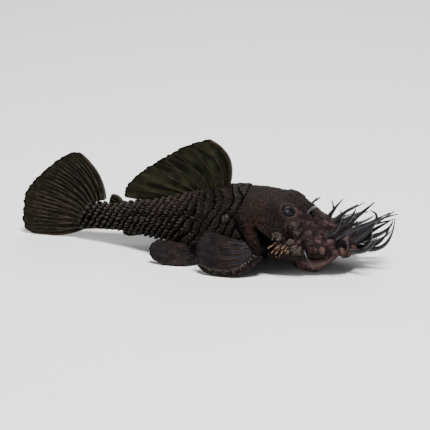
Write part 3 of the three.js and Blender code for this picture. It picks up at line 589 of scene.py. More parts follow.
def skin_material():
    n = Nodes("pleco_skin")
    flesh_share, head_share = n.mark("flesh"), n.mark("head")
    speck, grain = n.noise(0.9, 4, 0.7), n.grains(0.6)
    plate = n.mottled((17, 14, 12), (33, 27, 24), 7, 0.35, 0.65)
    plate = n.mix(n.scaled(speck, 0.45, 0.68, 0, 0.5), plate, (48, 40, 35))
    head = n.mottled((30, 22, 19), (46, 35, 30), 6, 0.38, 0.62)
    head = n.mottled(head, (54, 34, 29), 3.4, 0.5, 0.64, 0.7, 2)
    flesh = n.mottled((32, 23, 24), (60, 44, 46), 3.2, 0.4, 0.62)
    flesh = n.mottled(flesh, (108, 82, 84), 1.3, 0.5, 0.7)
    flesh = n.mix(n.times(n.mark("pink"), n.scaled(speck, 0.3, 0.6, 0.45, 1)), flesh, (118, 86, 79))
    colour = n.mix(flesh_share, n.mix(head_share, plate, head), flesh)

    # Paler crests of the plates, a painted highlight on their raised tops, with pale flecks, and the
    # pale marks, which add more painted highlight along the back
    colour = n.marked(colour, (48, 40, 35), "crest", 0.15, 0.8, 0.55)
    flecks = n.times(n.scaled(n.noise(0.7, 2), 0.5, 0.6), n.scaled(n.mark("crest"), 0.1, 0.5))
    colour = n.mix(flecks, colour, (80, 68, 60))
    colour = n.marked(colour, (94, 79, 71), "pale")

    # Light grains on the head, dark pits between them, and black gaps between the plates, partly their
    # dark joints and partly painted shade
    hard = n.scaled(flesh_share, 0, 1, 1, 0.3)
    light = n.times(n.scaled(grain, 0.08, 0.32, 0.4, 0), hard)
    colour = n.mix(n.times(light, head_share), colour, (88, 71, 62))
    pits = n.times(n.scaled(grain, 0.34, 0.6, 0, 0.9), hard)
    pits = n.times(pits, n.scaled(n.noise(2.2), 0.36, 0.56, 0.35, 1))
    colour = n.mix(pits, colour, (12, 9, 8))
    # Painted shade on top of the dark joints: near black in the grooves, creases and hollows and along
    # the belly
    colour = n.marked(colour, (3, 2, 2), "groove")
    bumps = n.bump(speck, 0.14, n.bump(n.times(n.times(grain, hard), -1.0), 0.3))
    rough = n.math("MAXIMUM", n.scaled(flesh_share, 0, 1, 0.55, 0.3), n.mark("groove"))
    return n.finish(colour, rough, 0.04, bumps)


def ray_colours(n, web, dark, low, high):
    """A pale line on top of each fin ray, partly the ray's own lighter brown and partly a painted
    highlight, with a dark line of painted shadow along both its sides.
    """
    colour = n.marked(web, dark, "ray", 0.06, 0.4, 0.85)
    return n.marked(colour, n.mottled(low, high, 1.1, 0.38, 0.66), "ray", 0.5, 0.85)


def fin_material():
    n = Nodes("pleco_fin")
    # Painted sheen: lighter olive streaks across the web
    web = n.marked((18, 18, 10), (56, 58, 38), "streak", 0.2, 0.8)
    web = n.mottled(web, (14, 14, 10), 4, 0.42, 0.62, 0.7)
    web = n.mottled(web, (66, 70, 46), 1.3, 0.5, 0.66, 0.5)
    flecks = n.mix(n.scaled(n.noise(0.9, 4, 0.7), 0.45, 0.66), (14, 12, 9), (66, 54, 39))
    web = n.marked(n.marked(web, (6, 6, 3), "dim"), flecks, "brown")
    colour = ray_colours(n, web, (5, 4, 3), (48, 41, 33), (90, 78, 63))
    colour = n.marked(colour, (12, 10, 8), "edge")
    n.finish(colour, 0.5, 0.06, n.bump(n.noise(0.5), 0.05))

    # Light shines a little through the web between the rays
    glow = n.make("BsdfTranslucent", {"Color": (84, 84, 48)})
    thin = n.times(n.math("SUBTRACT", 1.0, n.mark("ray")), 0.25)
    both = n.make("MixShader", (thin, n.shader.outputs[0], glow.outputs[0]))
    n.put(n.tree.nodes["Material Output"].inputs["Surface"], both.outputs[0])
    return n.material


def side_fin_material():
    n = Nodes("pleco_side_fin")
    spine, grain = n.mark("spine"), n.grains(0.5)
    # Painted sheen: bluish-grey streaks across the web, with more of it on its pleats
    web = n.marked((24, 22, 25), (56, 57, 68), "streak", 0.2, 0.85)
    web = n.marked(web, (60, 62, 74), "pleat", 0.5, 1, 0.45)
    colour = ray_colours(n, web, (12, 10, 11), (40, 31, 29), (76, 61, 56))
    colour = n.marked(colour, (20, 17, 16), "edge")
    bone = n.mottled((20, 15, 14), (42, 33, 30), 1.4, 0.4, 0.62)
    bone = n.mottled(bone, (96, 79, 69), 0.6, 0.54, 0.64, detail=2)
    colour = n.mix(spine, colour, bone)
    colour = n.mix(n.times(n.scaled(grain, 0.3, 0.8), spine), colour, (10, 8, 7))
    bumps = n.bump(n.noise(0.5), 0.05, n.bump(n.times(n.times(grain, spine), -1.0), 0.2))
    return n.finish(colour, 0.45, 0.06, bumps)


def bristle_material():
    n = Nodes("pleco_bristle")
    body = n.mottled((17, 16, 19), (46, 45, 52), 2.4, 0.4, 0.62)
    colour = n.mix(n.scaled(n.mark("tip"), 0.0, 0.25, 1, 0), body, (56, 46, 46))
    patch = n.times(n.mark("pale"), n.scaled(n.noise(0.8), 0.4, 0.56, 0.3, 1))
    colour = n.mix(patch, colour, (112, 110, 118))
    colour = n.marked(colour, (14, 13, 16), "tip", 0.55, 1.0, 0.6)
    return n.finish(colour, 0.28, 0.3, n.bump(n.noise(0.7), 0.08))


def spine_material():
    n = Nodes("pleco_spine")
    root = n.mottled((28, 22, 20), (62, 51, 45), 1.0, 0.4, 0.6)
    colour = n.marked(root, (98, 84, 77), "pale")
    colour = n.marked(colour, (146, 108, 78), "tip", 0.7, 0.95)
    colour = n.marked(colour, (196, 166, 134), "tip", 0.93, 1.0, 0.6)
    return n.finish(colour, 0.4, 0.2, n.bump(n.noise(0.4), 0.05))


def spinelet_material():
    n = Nodes("pleco_spinelets")
    root = n.mottled((14, 11, 10), (36, 29, 26), 1.5, 0.4, 0.6)
    colour = n.marked(root, (60, 50, 43), "tip", 0.5, 1.0)
    colour = n.marked(colour, (176, 162, 150), "pale")
    return n.finish(colour, 0.5, 0.15, n.bump(n.noise(0.4), 0.03))


def lip_material():
    n = Nodes("pleco_lips")
    colour = n.mottled((66, 48, 45), (124, 95, 90), 2.6, 0.38, 0.62)
    colour = n.mottled(colour, (150, 122, 118), 0.9, 0.48, 0.7)
    colour = n.marked(colour, (74, 34, 22), "wet")
    bumps = n.bump(n.noise(1.6), 0.2, n.bump(n.times(n.grains(0.55), -1.0), 0.14))
    rough = n.scaled(n.mark("wet"), 0, 1, 0.42, 0.12)
    return n.finish(colour, rough, 0.3, bumps, Subsurface_Weight=0.12, Subsurface_Scale=MM)


def eye_material():
    """Pupil, speckled iris and dark rim, by the distance from the eye's own Z axis, which looks out."""
    n = Nodes("pleco_eye")
    split = n.make("SeparateXYZ", {"Vector": n.place})
    x, y = split.outputs["X"], split.outputs["Y"]
    out = n.math("SQRT", n.math("ADD", n.times(x, x), n.times(y, y)))
    iris = n.mix(n.scaled(n.noise(0.35, 4, 0.7), 0.4, 0.66), (10, 9, 11), (44, 44, 49))
    colour = n.mix(n.scaled(out, 0.7 * MM, 1.05 * MM, 1, 0), iris, (12, 11, 13))
    ring = n.math("ABSOLUTE", n.math("SUBTRACT", out, 1.5 * MM))
    colour = n.mix(n.scaled(ring, 0.0, 0.3 * MM, 0.6, 0), colour, (50, 49, 53))
    colour = n.mix(n.scaled(out, 1.8 * MM, 2.1 * MM, 0, 0.9), colour, (8, 7, 8))
    return n.finish(colour, 0.4, 0.06, n.bump(n.noise(0.8), 0.05))


skin_look, fin_look, side_fin_look = skin_material(), fin_material(), side_fin_material()
bristle_look, spine_look, spinelet_look = bristle_material(), spine_material(), spinelet_material()
lip_look, eye_look = lip_material(), eye_material()


# Skin


def chain_distance(path, radius_from, radius_to, p):
    """Distance to a rod along a path, whose radius changes evenly."""
    path = array(path, float)
    best = np.inf
    for i, (a, b) in enumerate(zip(path[:-1], path[1:])):
        t = clip((p - a) @ (b - a) / ((b - a) @ (b - a)), 0, 1)
        radius = lerp(radius_from, radius_to, (i + t) / (len(path) - 1))
        best = minimum(best, norm(p - a - t[..., None] * (b - a)) - radius)
    return best


def shoulder_distance(path, p):
    """Distance to the shoulder's ridge, without its unevenness."""
    return chain_distance(path, SHOULDER["radius"], SHOULDER["end"], p)


def uneven_shoulder(path, p):
    return shoulder_distance(path, p) + 0.1 * ripple(p, 0.9, 21)


def ring_distance(centre, axis, radius, thickness, p):
    """Distance to a ring round an axis."""
    v = p - centre
    h = v @ axis
    return np.hypot(norm(v - h[..., None] * axis) - radius, h) - thickness


def swelling_distance(centre, radius, p):
    """Distance to a bulb with an uneven surface."""
    return norm(p - centre) - radius + 0.16 * ripple(p, 1.7, 31) + 0.06 * ripple(p, 0.7, 32)


def grow(p, normals, lift, distance, blend):
    """Lifts the skin to where it joins smoothly with a shape given by its distance function."""
    t = np.full(len(p), 4.0)
    for _ in range(24):
        f = distance(p + normals * t[:, None])
        h = clip(0.5 + 0.5 * (f - (t - lift)) / blend, 0, 1)
        joined = lerp(f, t - lift, h) - blend * h * (1 - h)
        t = t - 0.8 * joined
    return maximum(t, lift)


def plate_pattern(p, s, a):
    """Rise, grooves and crests of the bony plates: slanting strips that are broken into lumps, with
    painted shade in the grooves and a painted highlight on the crests.
    """
    angle = np.degrees(a)
    angle = np.where(angle > 270, angle - 360, angle)
    angle = np.where(angle > 90, 180 - angle, angle)
    row = clip(np.searchsorted(-ROW_BORDERS, -angle, side="right") - 1, 0, 4)
    across = (ROW_BORDERS[row] - angle) / (ROW_BORDERS[row] - ROW_BORDERS[row + 1])
    across = clip(across + 0.09 * ripple(p, 1.6, 5), 0, 1)
    plated = ramp(-50, -44, angle)
    drop = top_at(s) - p[..., 2]
    neck = ramp(61, 52, s - 0.12 * drop) * ramp(19, 12, drop)
    lean = lerp(PLATE["lean"], PLATE["tail_lean"], ramp(62, 90, s)) * (1 - 0.35 * neck)
    jagged = 0.2 * ripple(p, 1.2, 3) + 0.75 * neck * ripple(p, 2.8, 4)
    chevron = 3.4 * neck * ramp(52, 84, angle)
    q = s - lean * drop - chevron + jagged - 0.45 * row
    size, shrink = PLATE["length"], PLATE["shrink"]
    column = (size - sqrt(size**2 - 4 * shrink * (q - PLATE["start"]))) / (2 * shrink)
    # Share of the way along a plate, and the lumps round it, which don't line up with the next plate's
    f = column - np.floor(column)
    turn = radians(angle) * half_width(s) / PLATE["lump"] + 0.618 * np.floor(column)
    lump = 0.5 + 0.5 * cos(TURN * turn + 2.6 * ripple(p, 1.6, 6))
    gap = lerp(0.38 + 0.2 * (1 - lump), 0.22, neck)
    edge = ramp(1, 1 - 0.3 * gap, f) * ramp(0.35 * gap, 0.95 * gap, f)
    side = ramp(0, 0.12, across) * ramp(1, 0.88, across)
    side = lerp(side, 1, lerp(0.6, 0.75, neck))
    rise = edge * side * (0.5 + 0.5 * f) * lerp(0.74 + 0.26 * lump, 0.9, 0.8 * neck)
    groove = 1 - edge * lerp(0.6 + 0.4 * ramp(0, 0.3, side), 1, neck)
    begin = ramp(-0.3, 0.3, s - shield_edge(p)) * plated
    crest = edge * side * f * (0.35 + 0.65 * lump) * lerp(1, 0.5, neck)
    return rise * begin, groove * begin, crest * begin


def shield_edge(p):
    """The s at which the head's shield ends, at the height of each point."""
    ends = interp(p[..., 2], *array(SHIELD).T)
    return ends + 0.35 * ripple(p, 1.8, 9)


def skin_grid():
    """Rings of points on the smooth skin, evenly apart, that end on the arc of the tail fin's root."""
    rings, around = int(460 * FINE), int(372 * FINE)
    front = int(rings * 0.86)
    dense = concatenate([linspace(0, 1.2, 200), linspace(1.2, 86, 900)[1:]])
    length = run(xyz(-dense, half_width(dense), top_at(dense)))
    s = interp(linspace(0.002, 1, front) * length[-1], length, dense)
    angles = radians(linspace(90, 450, 721))
    a = []
    for here in s:
        length = run(skin_point(here, angles))
        a.append(interp(arange(around) / around, length / length[-1], angles))
    a = array(a)
    s = repeat(s[:, None], around, axis=1)
    z = skin_point(s[-1], a[-1])[:, 2]
    for t in steps(rings - front + 1)[1:]:
        # The arc's place depends on the height at which a line meets it, so this is done in rounds
        for _ in range(3):
            level = clip(z - TAIL_BASE["z"], -TAIL_BASE["radius"], TAIL_BASE["radius"])
            reach = -TAIL_BASE["x"] + sqrt(TAIL_BASE["radius"] ** 2 - level**2)
            row = lerp(86, reach, t)
            z = skin_point(row, a[-1])[:, 2]
        s = vstack([s, row])
        a = vstack([a, a[-1:]])
    p = skin_point(s, a)
    normals = unit(cross(gradient(p, axis=0), gradient(p, axis=1)))
    return s, a, p, normals


def swellings(side):
    """Middle, radius and pinkness of each swelling of the snout on one side."""
    for s, degrees, radius, pink in SWELLINGS:
        angle = radians(degrees)
        centre = skin_point(s, angle) - skin_normal(s, angle) * radius * 0.35
        yield (mirrored(centre) if side > 0 else centre), radius, pink


def grown_forms():
    """What stands out of the skin: its distance function, blend with the skin, middle and reach."""
    for side, (spot, out), (hole, way) in zip((-1, 1), pair(EYE), pair(NOSTRIL)):
        rim = spot + out * (ORBIT["rise"] - 0.1)
        yield partial(ring_distance, rim, out, ORBIT["rim"], ORBIT["thickness"]), 0.35, spot, 5
        yield partial(ring_distance, hole, way, NOSTRIL["radius"], NOSTRIL["thickness"]), 0.3, hole, 3
        path = mirrored(SHOULDER["path"]) if side > 0 else array(SHOULDER["path"])
        yield partial(uneven_shoulder, path), 0.3, path.mean(axis=0), 12
        for centre, radius, _ in swellings(side):
            yield partial(swelling_distance, centre, radius), 0.5, centre, 5


def skin_relief(p, s, a):
    """How far plates, folds, hollows and creases lift the smooth skin, and the marks that they leave,
    with painted shade in the hollows and creases.
    """
    rise, groove, crest = plate_pattern(p, s, a)
    lift = rise * PLATE["rise"] - 0.4 * groove
    dark = np.zeros(len(s))
    z = p[:, 2]
    on_side = abs(p[:, 1] - spine_y(s)) > 6

    # Folds of the snout and the finer unevenness of the head
    snout = ramp(19, 10, s + 1.5 * ripple(p, 4, 40)) * ramp(5, 7, z)
    lift += snout * (0.24 * ripple(p, 1.8, 41) + 0.12 * ripple(p, 0.8, 42))
    head = ramp(0.3, -0.3, s - shield_edge(p))
    lift += 0.08 * ripple(p, 0.9, 43) * ramp(3, 8, s) * head

    flat = stack([s, z], axis=-1)
    for path, radius, soft, height, painted_darkness in CHEEK_FORMS:
        d = chain_distance(path, radius, radius, flat) + 0.15 * ripple(p, 1.2, 45)
        mask = ramp(soft, 0, d) * on_side
        lift += height * mask
        # Painted shade in the hollows, the gill slit and the creases of the head
        dark = maximum(dark, painted_darkness * ramp(0.25, 0.8, mask))

    # Painted highlight on the crests along the back, where light from above falls, paler crests behind
    # the head, and a pale ring round each eye
    pale = crest * maximum(0.75 * ramp(0.75, 0.95, sin(a)), 0.5 * ramp(59, 51, s))
    for spot, _ in pair(EYE):
        d = norm(p - spot)
        lift += ORBIT["rise"] * hump(d, ORBIT["reach"], 4)
        pale = maximum(pale, 0.55 * hump(d - ORBIT["rim"] - 0.1, 0.45))

    # The shoulder's ridge stands free of the head and the trunk between two creases darkened with
    # painted shade
    path = SHOULDER["path"]
    rod = minimum(shoulder_distance(path, p), shoulder_distance(mirrored(path), p))
    crease = hump(rod - 0.5, 0.5) * ramp(18.5, 16, z)
    dark = maximum(dark, ramp(0.3, 0.8, crease))
    arm = ramp(0.35, -0.1, rod)
    net = ramp(0.25, 0.05, abs(ripple(p, 0.8, 46))) * arm
    crest = crest * (1 - arm)
    lift = (lift - 0.8 * crease) * (1 - arm)

    # The crack behind the head shield, and the pale round spot on the shoulder
    crack = hump(s - shield_edge(p), 0.22) * ramp(14, 17, z)
    lift -= 0.3 * crack
    groove = np.maximum.reduce([groove * (1 - arm), crack, 0.8 * net])
    for spot, _ in pair(SPOT):
        d = norm(p - spot) + 0.1 * ripple(p, 1.5, 47)
        disc = ramp(SPOT["radius"], SPOT["radius"] - 0.5, d)
        lift = lerp(lift, SPOT["rise"], disc)
        groove = maximum(groove * (1 - disc), hump(d - SPOT["radius"] - 0.1, 0.25))
        crest = crest * (1 - disc)
        pale = maximum(pale, ramp(1.6, 0.8, d))

    below_eye = ramp(9, 3, abs(s - 18)) * ramp(10, 13, z) * on_side * 0.75
    flesh = maximum(snout, below_eye)
    marks = {"groove": groove, "crest": crest, "flesh": flesh, "pale": pale, "head": head, "dark": dark}
    return lift, marks


def body_skin():
    """One skin over head, trunk and tail. Returns its points, the ways out and the plates' crests."""
    s, a, p, normals = skin_grid()
    around = s.shape[1]
    s, a, p, normals = s.ravel(), a.ravel(), p.reshape(-1, 3), normals.reshape(-1, 3)
    lift, marks = skin_relief(p, s, a)
    for distance, blend, centre, reach in grown_forms():
        near = norm(p - centre) < reach + 3
        lift[near] = grow(p[near], normals[near], lift[near], distance, blend)
    final = p + normals * lift[:, None]

    # Pink tops of the swellings, painted shade in the creases round them, and painted shade along the
    # edge of belly and lower cheek
    dark = marks.pop("dark")
    pink = np.zeros(len(s))
    for side in (-1, 1):
        for centre, radius, share in swellings(side):
            out = final - centre
            d = norm(out)
            top = np.sum(out * normals, axis=1) / d
            dark = maximum(dark, 0.6 * hump(d - radius - 0.4, 0.3))
            pink = maximum(pink, share * ramp(0.5, 0.95, top) * ramp(radius + 0.3, radius, d))
    painted_belly_shade = 0.75 * ramp(9.5, 6.5, p[:, 2]) * ramp(20, 24, s) * ramp(82, 66, s)
    marks["groove"] = np.maximum.reduce([marks["groove"], dark * (1 - pink), painted_belly_shade])
    marks["pink"] = pink

    # A point at the snout, and a rounded end under the tail fin's root
    final[:, 2] = maximum(final[:, 2], 0.05)
    final = final.reshape(-1, around, 3)
    middle = spine_y(-final[-1, :, 0])
    rings = [final[:1].mean(axis=1, keepdims=True).repeat(around, axis=1), final]
    for turn in linspace(0.2, 1, 5) * pi / 2:
        ring = final[-1:].copy()
        ring[..., 1] = lerp(ring[..., 1], middle, 1 - cos(turn))
        ring[..., 0] -= 0.6 * sin(turn)
        rings.append(ring)
    closed = concatenate(rings)
    ends = np.r_[:around, : len(s)], tile(np.r_[len(s) - around : len(s)], 5)
    at_points = {name: clip(values, 0, 1)[concatenate(ends)] for name, values in marks.items()}
    v, u = meshgrid(steps(len(closed)), steps(around), indexing="ij")
    shape = Shape()
    shape.add(closed, grid_faces(len(closed), around), **at_points)
    nodes = ["head", "snout", "trunk_front", "trunk_rear", "tail_stalk"]
    nodes += ["gill_cover_right", "gill_cover_left"]
    shape.build("body_skin", skin_look, "skin", nodes, stack([u, v], axis=-1).reshape(-1, 2))
    return final.reshape(-1, 3), normals, marks["crest"]


skin_points, skin_normals, skin_crest = body_skin()


# Fins


def tail_roots(u):
    a = radians(lerp(97, 192, u))
    radius = TAIL_BASE["radius"] - 0.7
    x = TAIL_BASE["x"] + radius * cos(a)
    return xyz(x, spine_y(-x), TAIL_BASE["z"] + radius * sin(a))


def fin_sheet(fin, left=False):
    """The middle of a fin's thickness, by the share u from ray to ray and r along the rays."""
    curve = through if len(fin["tips"][0]) == 3 else upright
    roots = curve(fin["roots"]) if "roots" in fin else tail_roots
    bends, tips = curve(fin["bends"]), curve(fin["tips"])

    def sheet(u, r):
        r = r[..., None]
        p = roots(u) * (1 - r) ** 2 + bends(u) * 2 * r * (1 - r) + tips(u) * r * r
        p[..., 2] = maximum(p[..., 2], fin["floor"])
        return mirrored(p) if left else p

    return sheet


def add_fin(shape, sheet, fin, seed):
    """A closed fin with forked rays on both faces and a ragged edge."""
    spaces = fin["rays"] - 1
    rows, per_ray = fin["grid"]
    rows, columns = int(rows * FINE), int(spaces * per_ray * FINE) + 1
    u, r = meshgrid(steps(columns), steps(rows), indexing="ij")
    phase = u * spaces
    off = abs(phase - np.round(phase))
    nicks = fin["rays"] * 6
    ragged = interp(u, steps(nicks), np.random.default_rng(seed).uniform(0.975, 1, nicks))
    reach = (1 - 0.008 * sin(pi * off) ** 2) * ragged
    p = sheet(u, r * lerp(1, reach, r**3))
    normals = unit(cross(gradient(p, axis=0), gradient(p, axis=1)))

    # A ray's ridge parts in two and then in four
    spacing = norm(gradient(p, axis=0)) * (columns - 1) / spaces
    first, second = (ramp(start, start + 0.5, r) for start in fin["forks"])
    parts = (FORK * first + turn * FORK / 2 * second for turn in (-1, 1))
    ridge = maximum(*(hump((off - part) * spacing, lerp(0.3, 0.17, r)) for part in parts))
    extra = 0
    if fin["lead"]:
        across = phase * spacing
        spine = hump(across, 1.5, 4) * (0.75 + 0.25 * cos(TURN * across / 0.6))
        ridge = maximum(ridge * ramp(0.2, 0.5, phase), spine)
        extra = fin["lead"] * spine * (1 - 0.5 * r)

    # The web thins towards its edge and between the rays, and hangs in slight waves
    pleat = 0.5 - 0.5 * cos(TURN * phase)
    web = fin["web"][0] + fin["deep"] * sin(pi * u) ** 0.7
    web = lerp(web, fin["web"][1], ramp(*fin["web_end"], r)) * (1 - 0.3 * pleat * ramp(0, 0.4, r))
    half = (web + ridge * lerp(*fin["ray"], r) + extra) / 2
    half *= 1 - 0.7 * ramp(0.95, 1, r)
    wave = (0.1 * ripple(p, 2.4, seed + 1) + 0.12 * (pleat - 0.5)) * ramp(0, 0.4, r) / 2
    front = p + normals * (half + wave)[..., None]
    back = p - normals * (half - wave)[..., None]

    count = columns * rows
    index = arange(count).reshape(columns, rows)
    rim = concatenate([index[:, 0], index[-1, 1:], index[-2::-1, -1], index[0, -2:0:-1]])
    after = np.roll(rim, -1)
    band = stack([rim, rim + count, after + count, after], axis=-1)
    faces = grid_faces(columns, rows, closed=False)
    brown = fin["brown"] * ramp(0.35, 0.7, u)
    # The streak and pleat marks also lay painted sheen on the web's colour
    marks = {
        "ray": ridge, "edge": ramp(0.95, 1, r), "pleat": pleat,
        "brown": brown, "dim": fin["brown"] - brown,
        "streak": 0.5 + 0.5 * ripple(xyz(phase * 2.6, r * 3.0, 0), 1.0, seed + 2),
    }
    marks = {name: tile(clip(values, 0, 1).ravel(), 2) for name, values in marks.items()}
    p = stack([front, back])
    p[..., 2] = maximum(p[..., 2], 0.03)
    shape.add(p, vstack([faces, faces[:, ::-1] + count, band]), **marks)


def pectoral_thorns(line, radius, out):
    """A loose double row of pale thorns along the spine's upper edge, and fine ones all over."""
    thorns = Shape()
    share = linspace(0.02, 0.6, SPINE["thorns"]) + draw(-0.008, 0.008, SPINE["thorns"])
    pick = (share * (len(line) - 1)).astype(int)
    lean = (0.15 + 0.55 * (arange(len(pick)) % 2) + draw(-0.1, 0.1, len(pick)))[:, None]
    up = unit(array([-0.3, 0, 0.9]) + lean * out)
    size = SPINE["thorn"] * draw(0.5, 1, len(pick)) * (1 - 0.5 * share)
    pale = ramp(0.6, 0.2, share) * draw(0.5, 1, len(pick))
    add_spinelets(thorns, line[pick] + up * radius[pick, None] * 0.92, up, size, 0.22, 6, pale)

    share = draw(0, 1, 1100) ** 0.6
    pick = (share * (len(line) - 3)).astype(int)
    turn = draw(0.75, pi * 0.9, len(pick))[:, None]
    away = cos(turn) * out + sin(turn) * array([0, 0, 1])
    size = draw(0.3, 0.45, len(pick)) + 0.25 * ramp(0.8, 1, share)
    pale = draw(0, 0.55, len(pick)) ** 2
    roots = line[pick] + away * radius[pick, None] * 0.97
    add_spinelets(thorns, roots, away + [-0.9, 0, 0], size, 0.12, 4, pale)
    return thorns


upright_fins = ("dorsal", DORSAL, 3), ("adipose", ADIPOSE, 5), ("anal", ANAL, 6), ("caudal", CAUDAL, 8)
for name, fin, seed in upright_fins:
    shape = Shape()
    add_fin(shape, fin_sheet(fin), fin, seed)
    shape.build(name + "_fin_skin", fin_look, "fin", [name + "_fin"])

for left, name in ((0, "right"), (1, "left")):
    sheet = fin_sheet(PECTORAL, left)
    shape = Shape()
    add_fin(shape, sheet, PECTORAL, 10 + left)
    t = steps(int(120 * FINE))
    line = sheet(0 * t, t)
    radius = lerp(SPINE["root"], SPINE["tip"], t) * sqrt(clip((1.02 - t) / 0.12, 0.05, 1))
    line[:, 2] = maximum(line[:, 2], radius + 0.02)
    add_tube(shape, line, radius, 28, spine=1)
    shape.build("pectoral_fin_skin_" + name, side_fin_look, "fin", ["pectoral_fin_" + name])

    thorns = pectoral_thorns(line, radius, array([0, 1.0 if left else -1.0, 0]))
    thorns.build("pectoral_thorns_" + name, spinelet_look, "spine")

    shape = Shape()
    add_fin(shape, fin_sheet(PELVIC, left), PELVIC, 20 + left)
    shape.build("pelvic_fin_skin_" + name, side_fin_look, "fin", ["pelvic_fin_" + name])


# Spinelets on the plates' crests, and a row along the rear edge of the head shield

spinelets = Shape()
behind = array([-1.0, 0, -0.1])
chosen = rng.choice(len(skin_points), 5000, p=skin_crest**3 / (skin_crest**3).sum())
ways = behind + skin_normals[chosen] * 0.75 + rng.normal(size=(len(chosen), 3)) * 0.15
add_spinelets(spinelets, skin_points[chosen], ways, draw(0.15, 0.34, len(chosen)), 0.09, pale=0.2)
edge = abs(-skin_points[:, 0] - shield_edge(skin_points) + 0.35) < 0.25
edge &= (skin_points[:, 2] > 12) & (skin_points[:, 2] < 22)
chosen = rng.choice(np.flatnonzero(edge), 45)
ways = behind + skin_normals[chosen] * 0.9
add_spinelets(spinelets, skin_points[chosen], ways, draw(0.3, 0.5, len(chosen)), 0.14)
spinelets.build("spinelets", spinelet_look, "skin")


# Spines, bristles and lips


def add_spike(shape, root, tip, radius, blunt, bow=0.0, pale=0.0, hue=1.0):
    """A spine from root to tip, bowed outwards, whose end is as wide as the share blunt of its root.
    Hue is how much of the tips' colour its end has."""
    t = steps(14)
    outward = array([0, sign(root[1]), 0])
    line = root + (tip - root) * t[:, None] + outward * (bow * 4 * t * (1 - t))[:, None]
    width = radius * lerp(1, blunt, t) * sqrt(clip((1.03 - t) / 0.18, 0, 1))
    add_tube(shape, line, width, 8, tip=t * hue, pale=pale)


for side, name in ((-1, "right"), (1, "left")):
    spikes = Shape()
    for s_tip, z_tip in FAN_TIPS:
        share = clip((29 - s_tip) / 7 + draw(-0.1, 0.1), 0, 1)
        s_root, z_root = lerp(*array(FAN_ROOTS), share)
        root = side_spot(s_root, z_root, side) - [0, side * 0.5, 0]
        tip = side_spot(s_tip, z_tip, side) + [0, side * draw(0.5, 0.9), 0]
        add_spike(spikes, root, tip, draw(0.42, 0.52), 0.62, side * 0.3)
        # A shorter one beside each
        s_off, z_off = rng.normal(0, 0.45, 2)
        root = side_spot(s_root + s_off, z_root + z_off, side) - [0, side * 0.5, 0]
        tip = root + (tip - root) * draw(0.45, 0.75) + [0.4 * s_off, side * 0.3, 0.4 * z_off]
        add_spike(spikes, root, tip, draw(0.34, 0.44), 0.6, side * 0.2, hue=0.92)
    for s_mid, z_mid, reach, count, rise in CLUMPS:
        turn, away = draw(0, TURN, count), sqrt(draw(0, 1, count)) * reach
        for s, z in zip(s_mid + away * cos(turn), z_mid + 0.62 * away * sin(turn)):
            root = side_spot(s, z, side) + [0, side * rise, 0]
            way = unit(array([-0.35, side * 1.0, -0.45 + draw(-0.4, 0.4)]))
            size = draw(0.5, 1.0)
            pale = draw(0, 0.7)
            add_spike(spikes, root - way * 0.4, root + way * size, 0.3, 0.8, pale=pale, hue=0.5)
    spikes.build("cheek_spines_" + name, spine_look, "spine")

bristles = Shape()
for root, bend, tip, *fork in BRISTLES:
    t = steps(40)
    line = quadratic(root, bend, tip, t)
    stout = lerp(BRISTLE["slender"], BRISTLE["root"], min(run(line)[-1] / BRISTLE["long"], 1))
    wobble = 1 + 0.06 * ripple(line, 1.5, 61)
    sheath = 1 + 0.35 * np.exp(-t / 0.07)
    add_tube(bristles, line, lerp(stout, BRISTLE["tip"], t**1.25) * wobble * sheath, 14, tip=t)
    if fork:
        start = line[20]
        middle = lerp((start + fork[0]) / 2, array(bend), 0.2)
        t = steps(20)
        twig = quadratic(start, middle, fork[0], t)
        add_tube(bristles, twig, lerp(0.5, BRISTLE["tip"], t), 12, tip=0.5 + t / 2)
bristles.build("bristles", bristle_look, "snout")

barbels = Shape()
for path in (array(BARBEL), mirrored(BARBEL)):
    root, bend, tip = path
    t = steps(24)
    line = quadratic(root, (root + 2 * bend + tip) / 4, tip, t)
    add_tube(barbels, line, lerp(0.32, 0.14, t), 12, tip=0.3, pale=0.2 + 0.6 * t)
barbels.build("barbels", bristle_look, "snout")


def mouth_disc():
    """The sucker disc: a soft roll of lip that lifts off the floor in front, under a wet groove."""
    around, along = int(200 * FINE), int(110 * FINE)
    profile = through([[r, z, 0] for r, z in MOUTH_PROFILE])(steps(along))
    radius, level = profile[:, :1], profile[:, 1:2]
    a = arange(around) / around * TURN
    front = ramp(0.1, 0.85, cos(a))
    z = level + front * (3.0 * ramp(5, 0, level) * ramp(4, 8, radius) + 0.8 * ramp(2, 5, level))
    x = MOUTH["long"] * radius * cos(a) - MOUTH["s"]
    points = xyz(x, MOUTH["wide"] * radius * sin(a), z)
    swell = 0.2 * ripple(points, 2.4, 71) + 0.1 * ripple(points, 0.9, 72)
    points = points + xyz(cos(a), sin(a), 0) * (swell * ramp(3, 7, radius))[..., None]
    points[..., 2] += 0.15 * ripple(points, 0.8, 73) * (points[..., 2] > 0.6)
    points[..., 2] = maximum(points[..., 2], 0.0)
    shape = Shape()
    shape.add(points, grid_faces(along, around), wet=repeat(ramp(4.3, 5.1, level), around))
    shape.build("mouth_skin", lip_look, "lips", ["mouth"])


mouth_disc()

flaps = Shape()
for spot, out in pair(NOSTRIL):
    t = steps(24)
    start = spot + array([-NOSTRIL["radius"] * 0.9, 0, -0.5])
    top = start + (out + [0.1, 0, 0.35]) * NOSTRIL["flap"] * 0.8
    line = quadratic(start, (start + top) / 2 + [-0.2, 0, 0.1], top + [1.0, 0, 0.1], t)
    width = lerp(1.3, 0.9, t) * (1 + 0.15 * sin(t * 9)) * sqrt(clip((1.04 - t) / 0.25, 0, 1))
    add_tube(flaps, line, width, 20, across=(0, 1, 0), flat=0.45, tip=0.3, pale=0.2 + 0.6 * t)
flaps.build("nostril_flaps", bristle_look, "snout")


# Eyes, as balls round their own middle whose +Z looks out

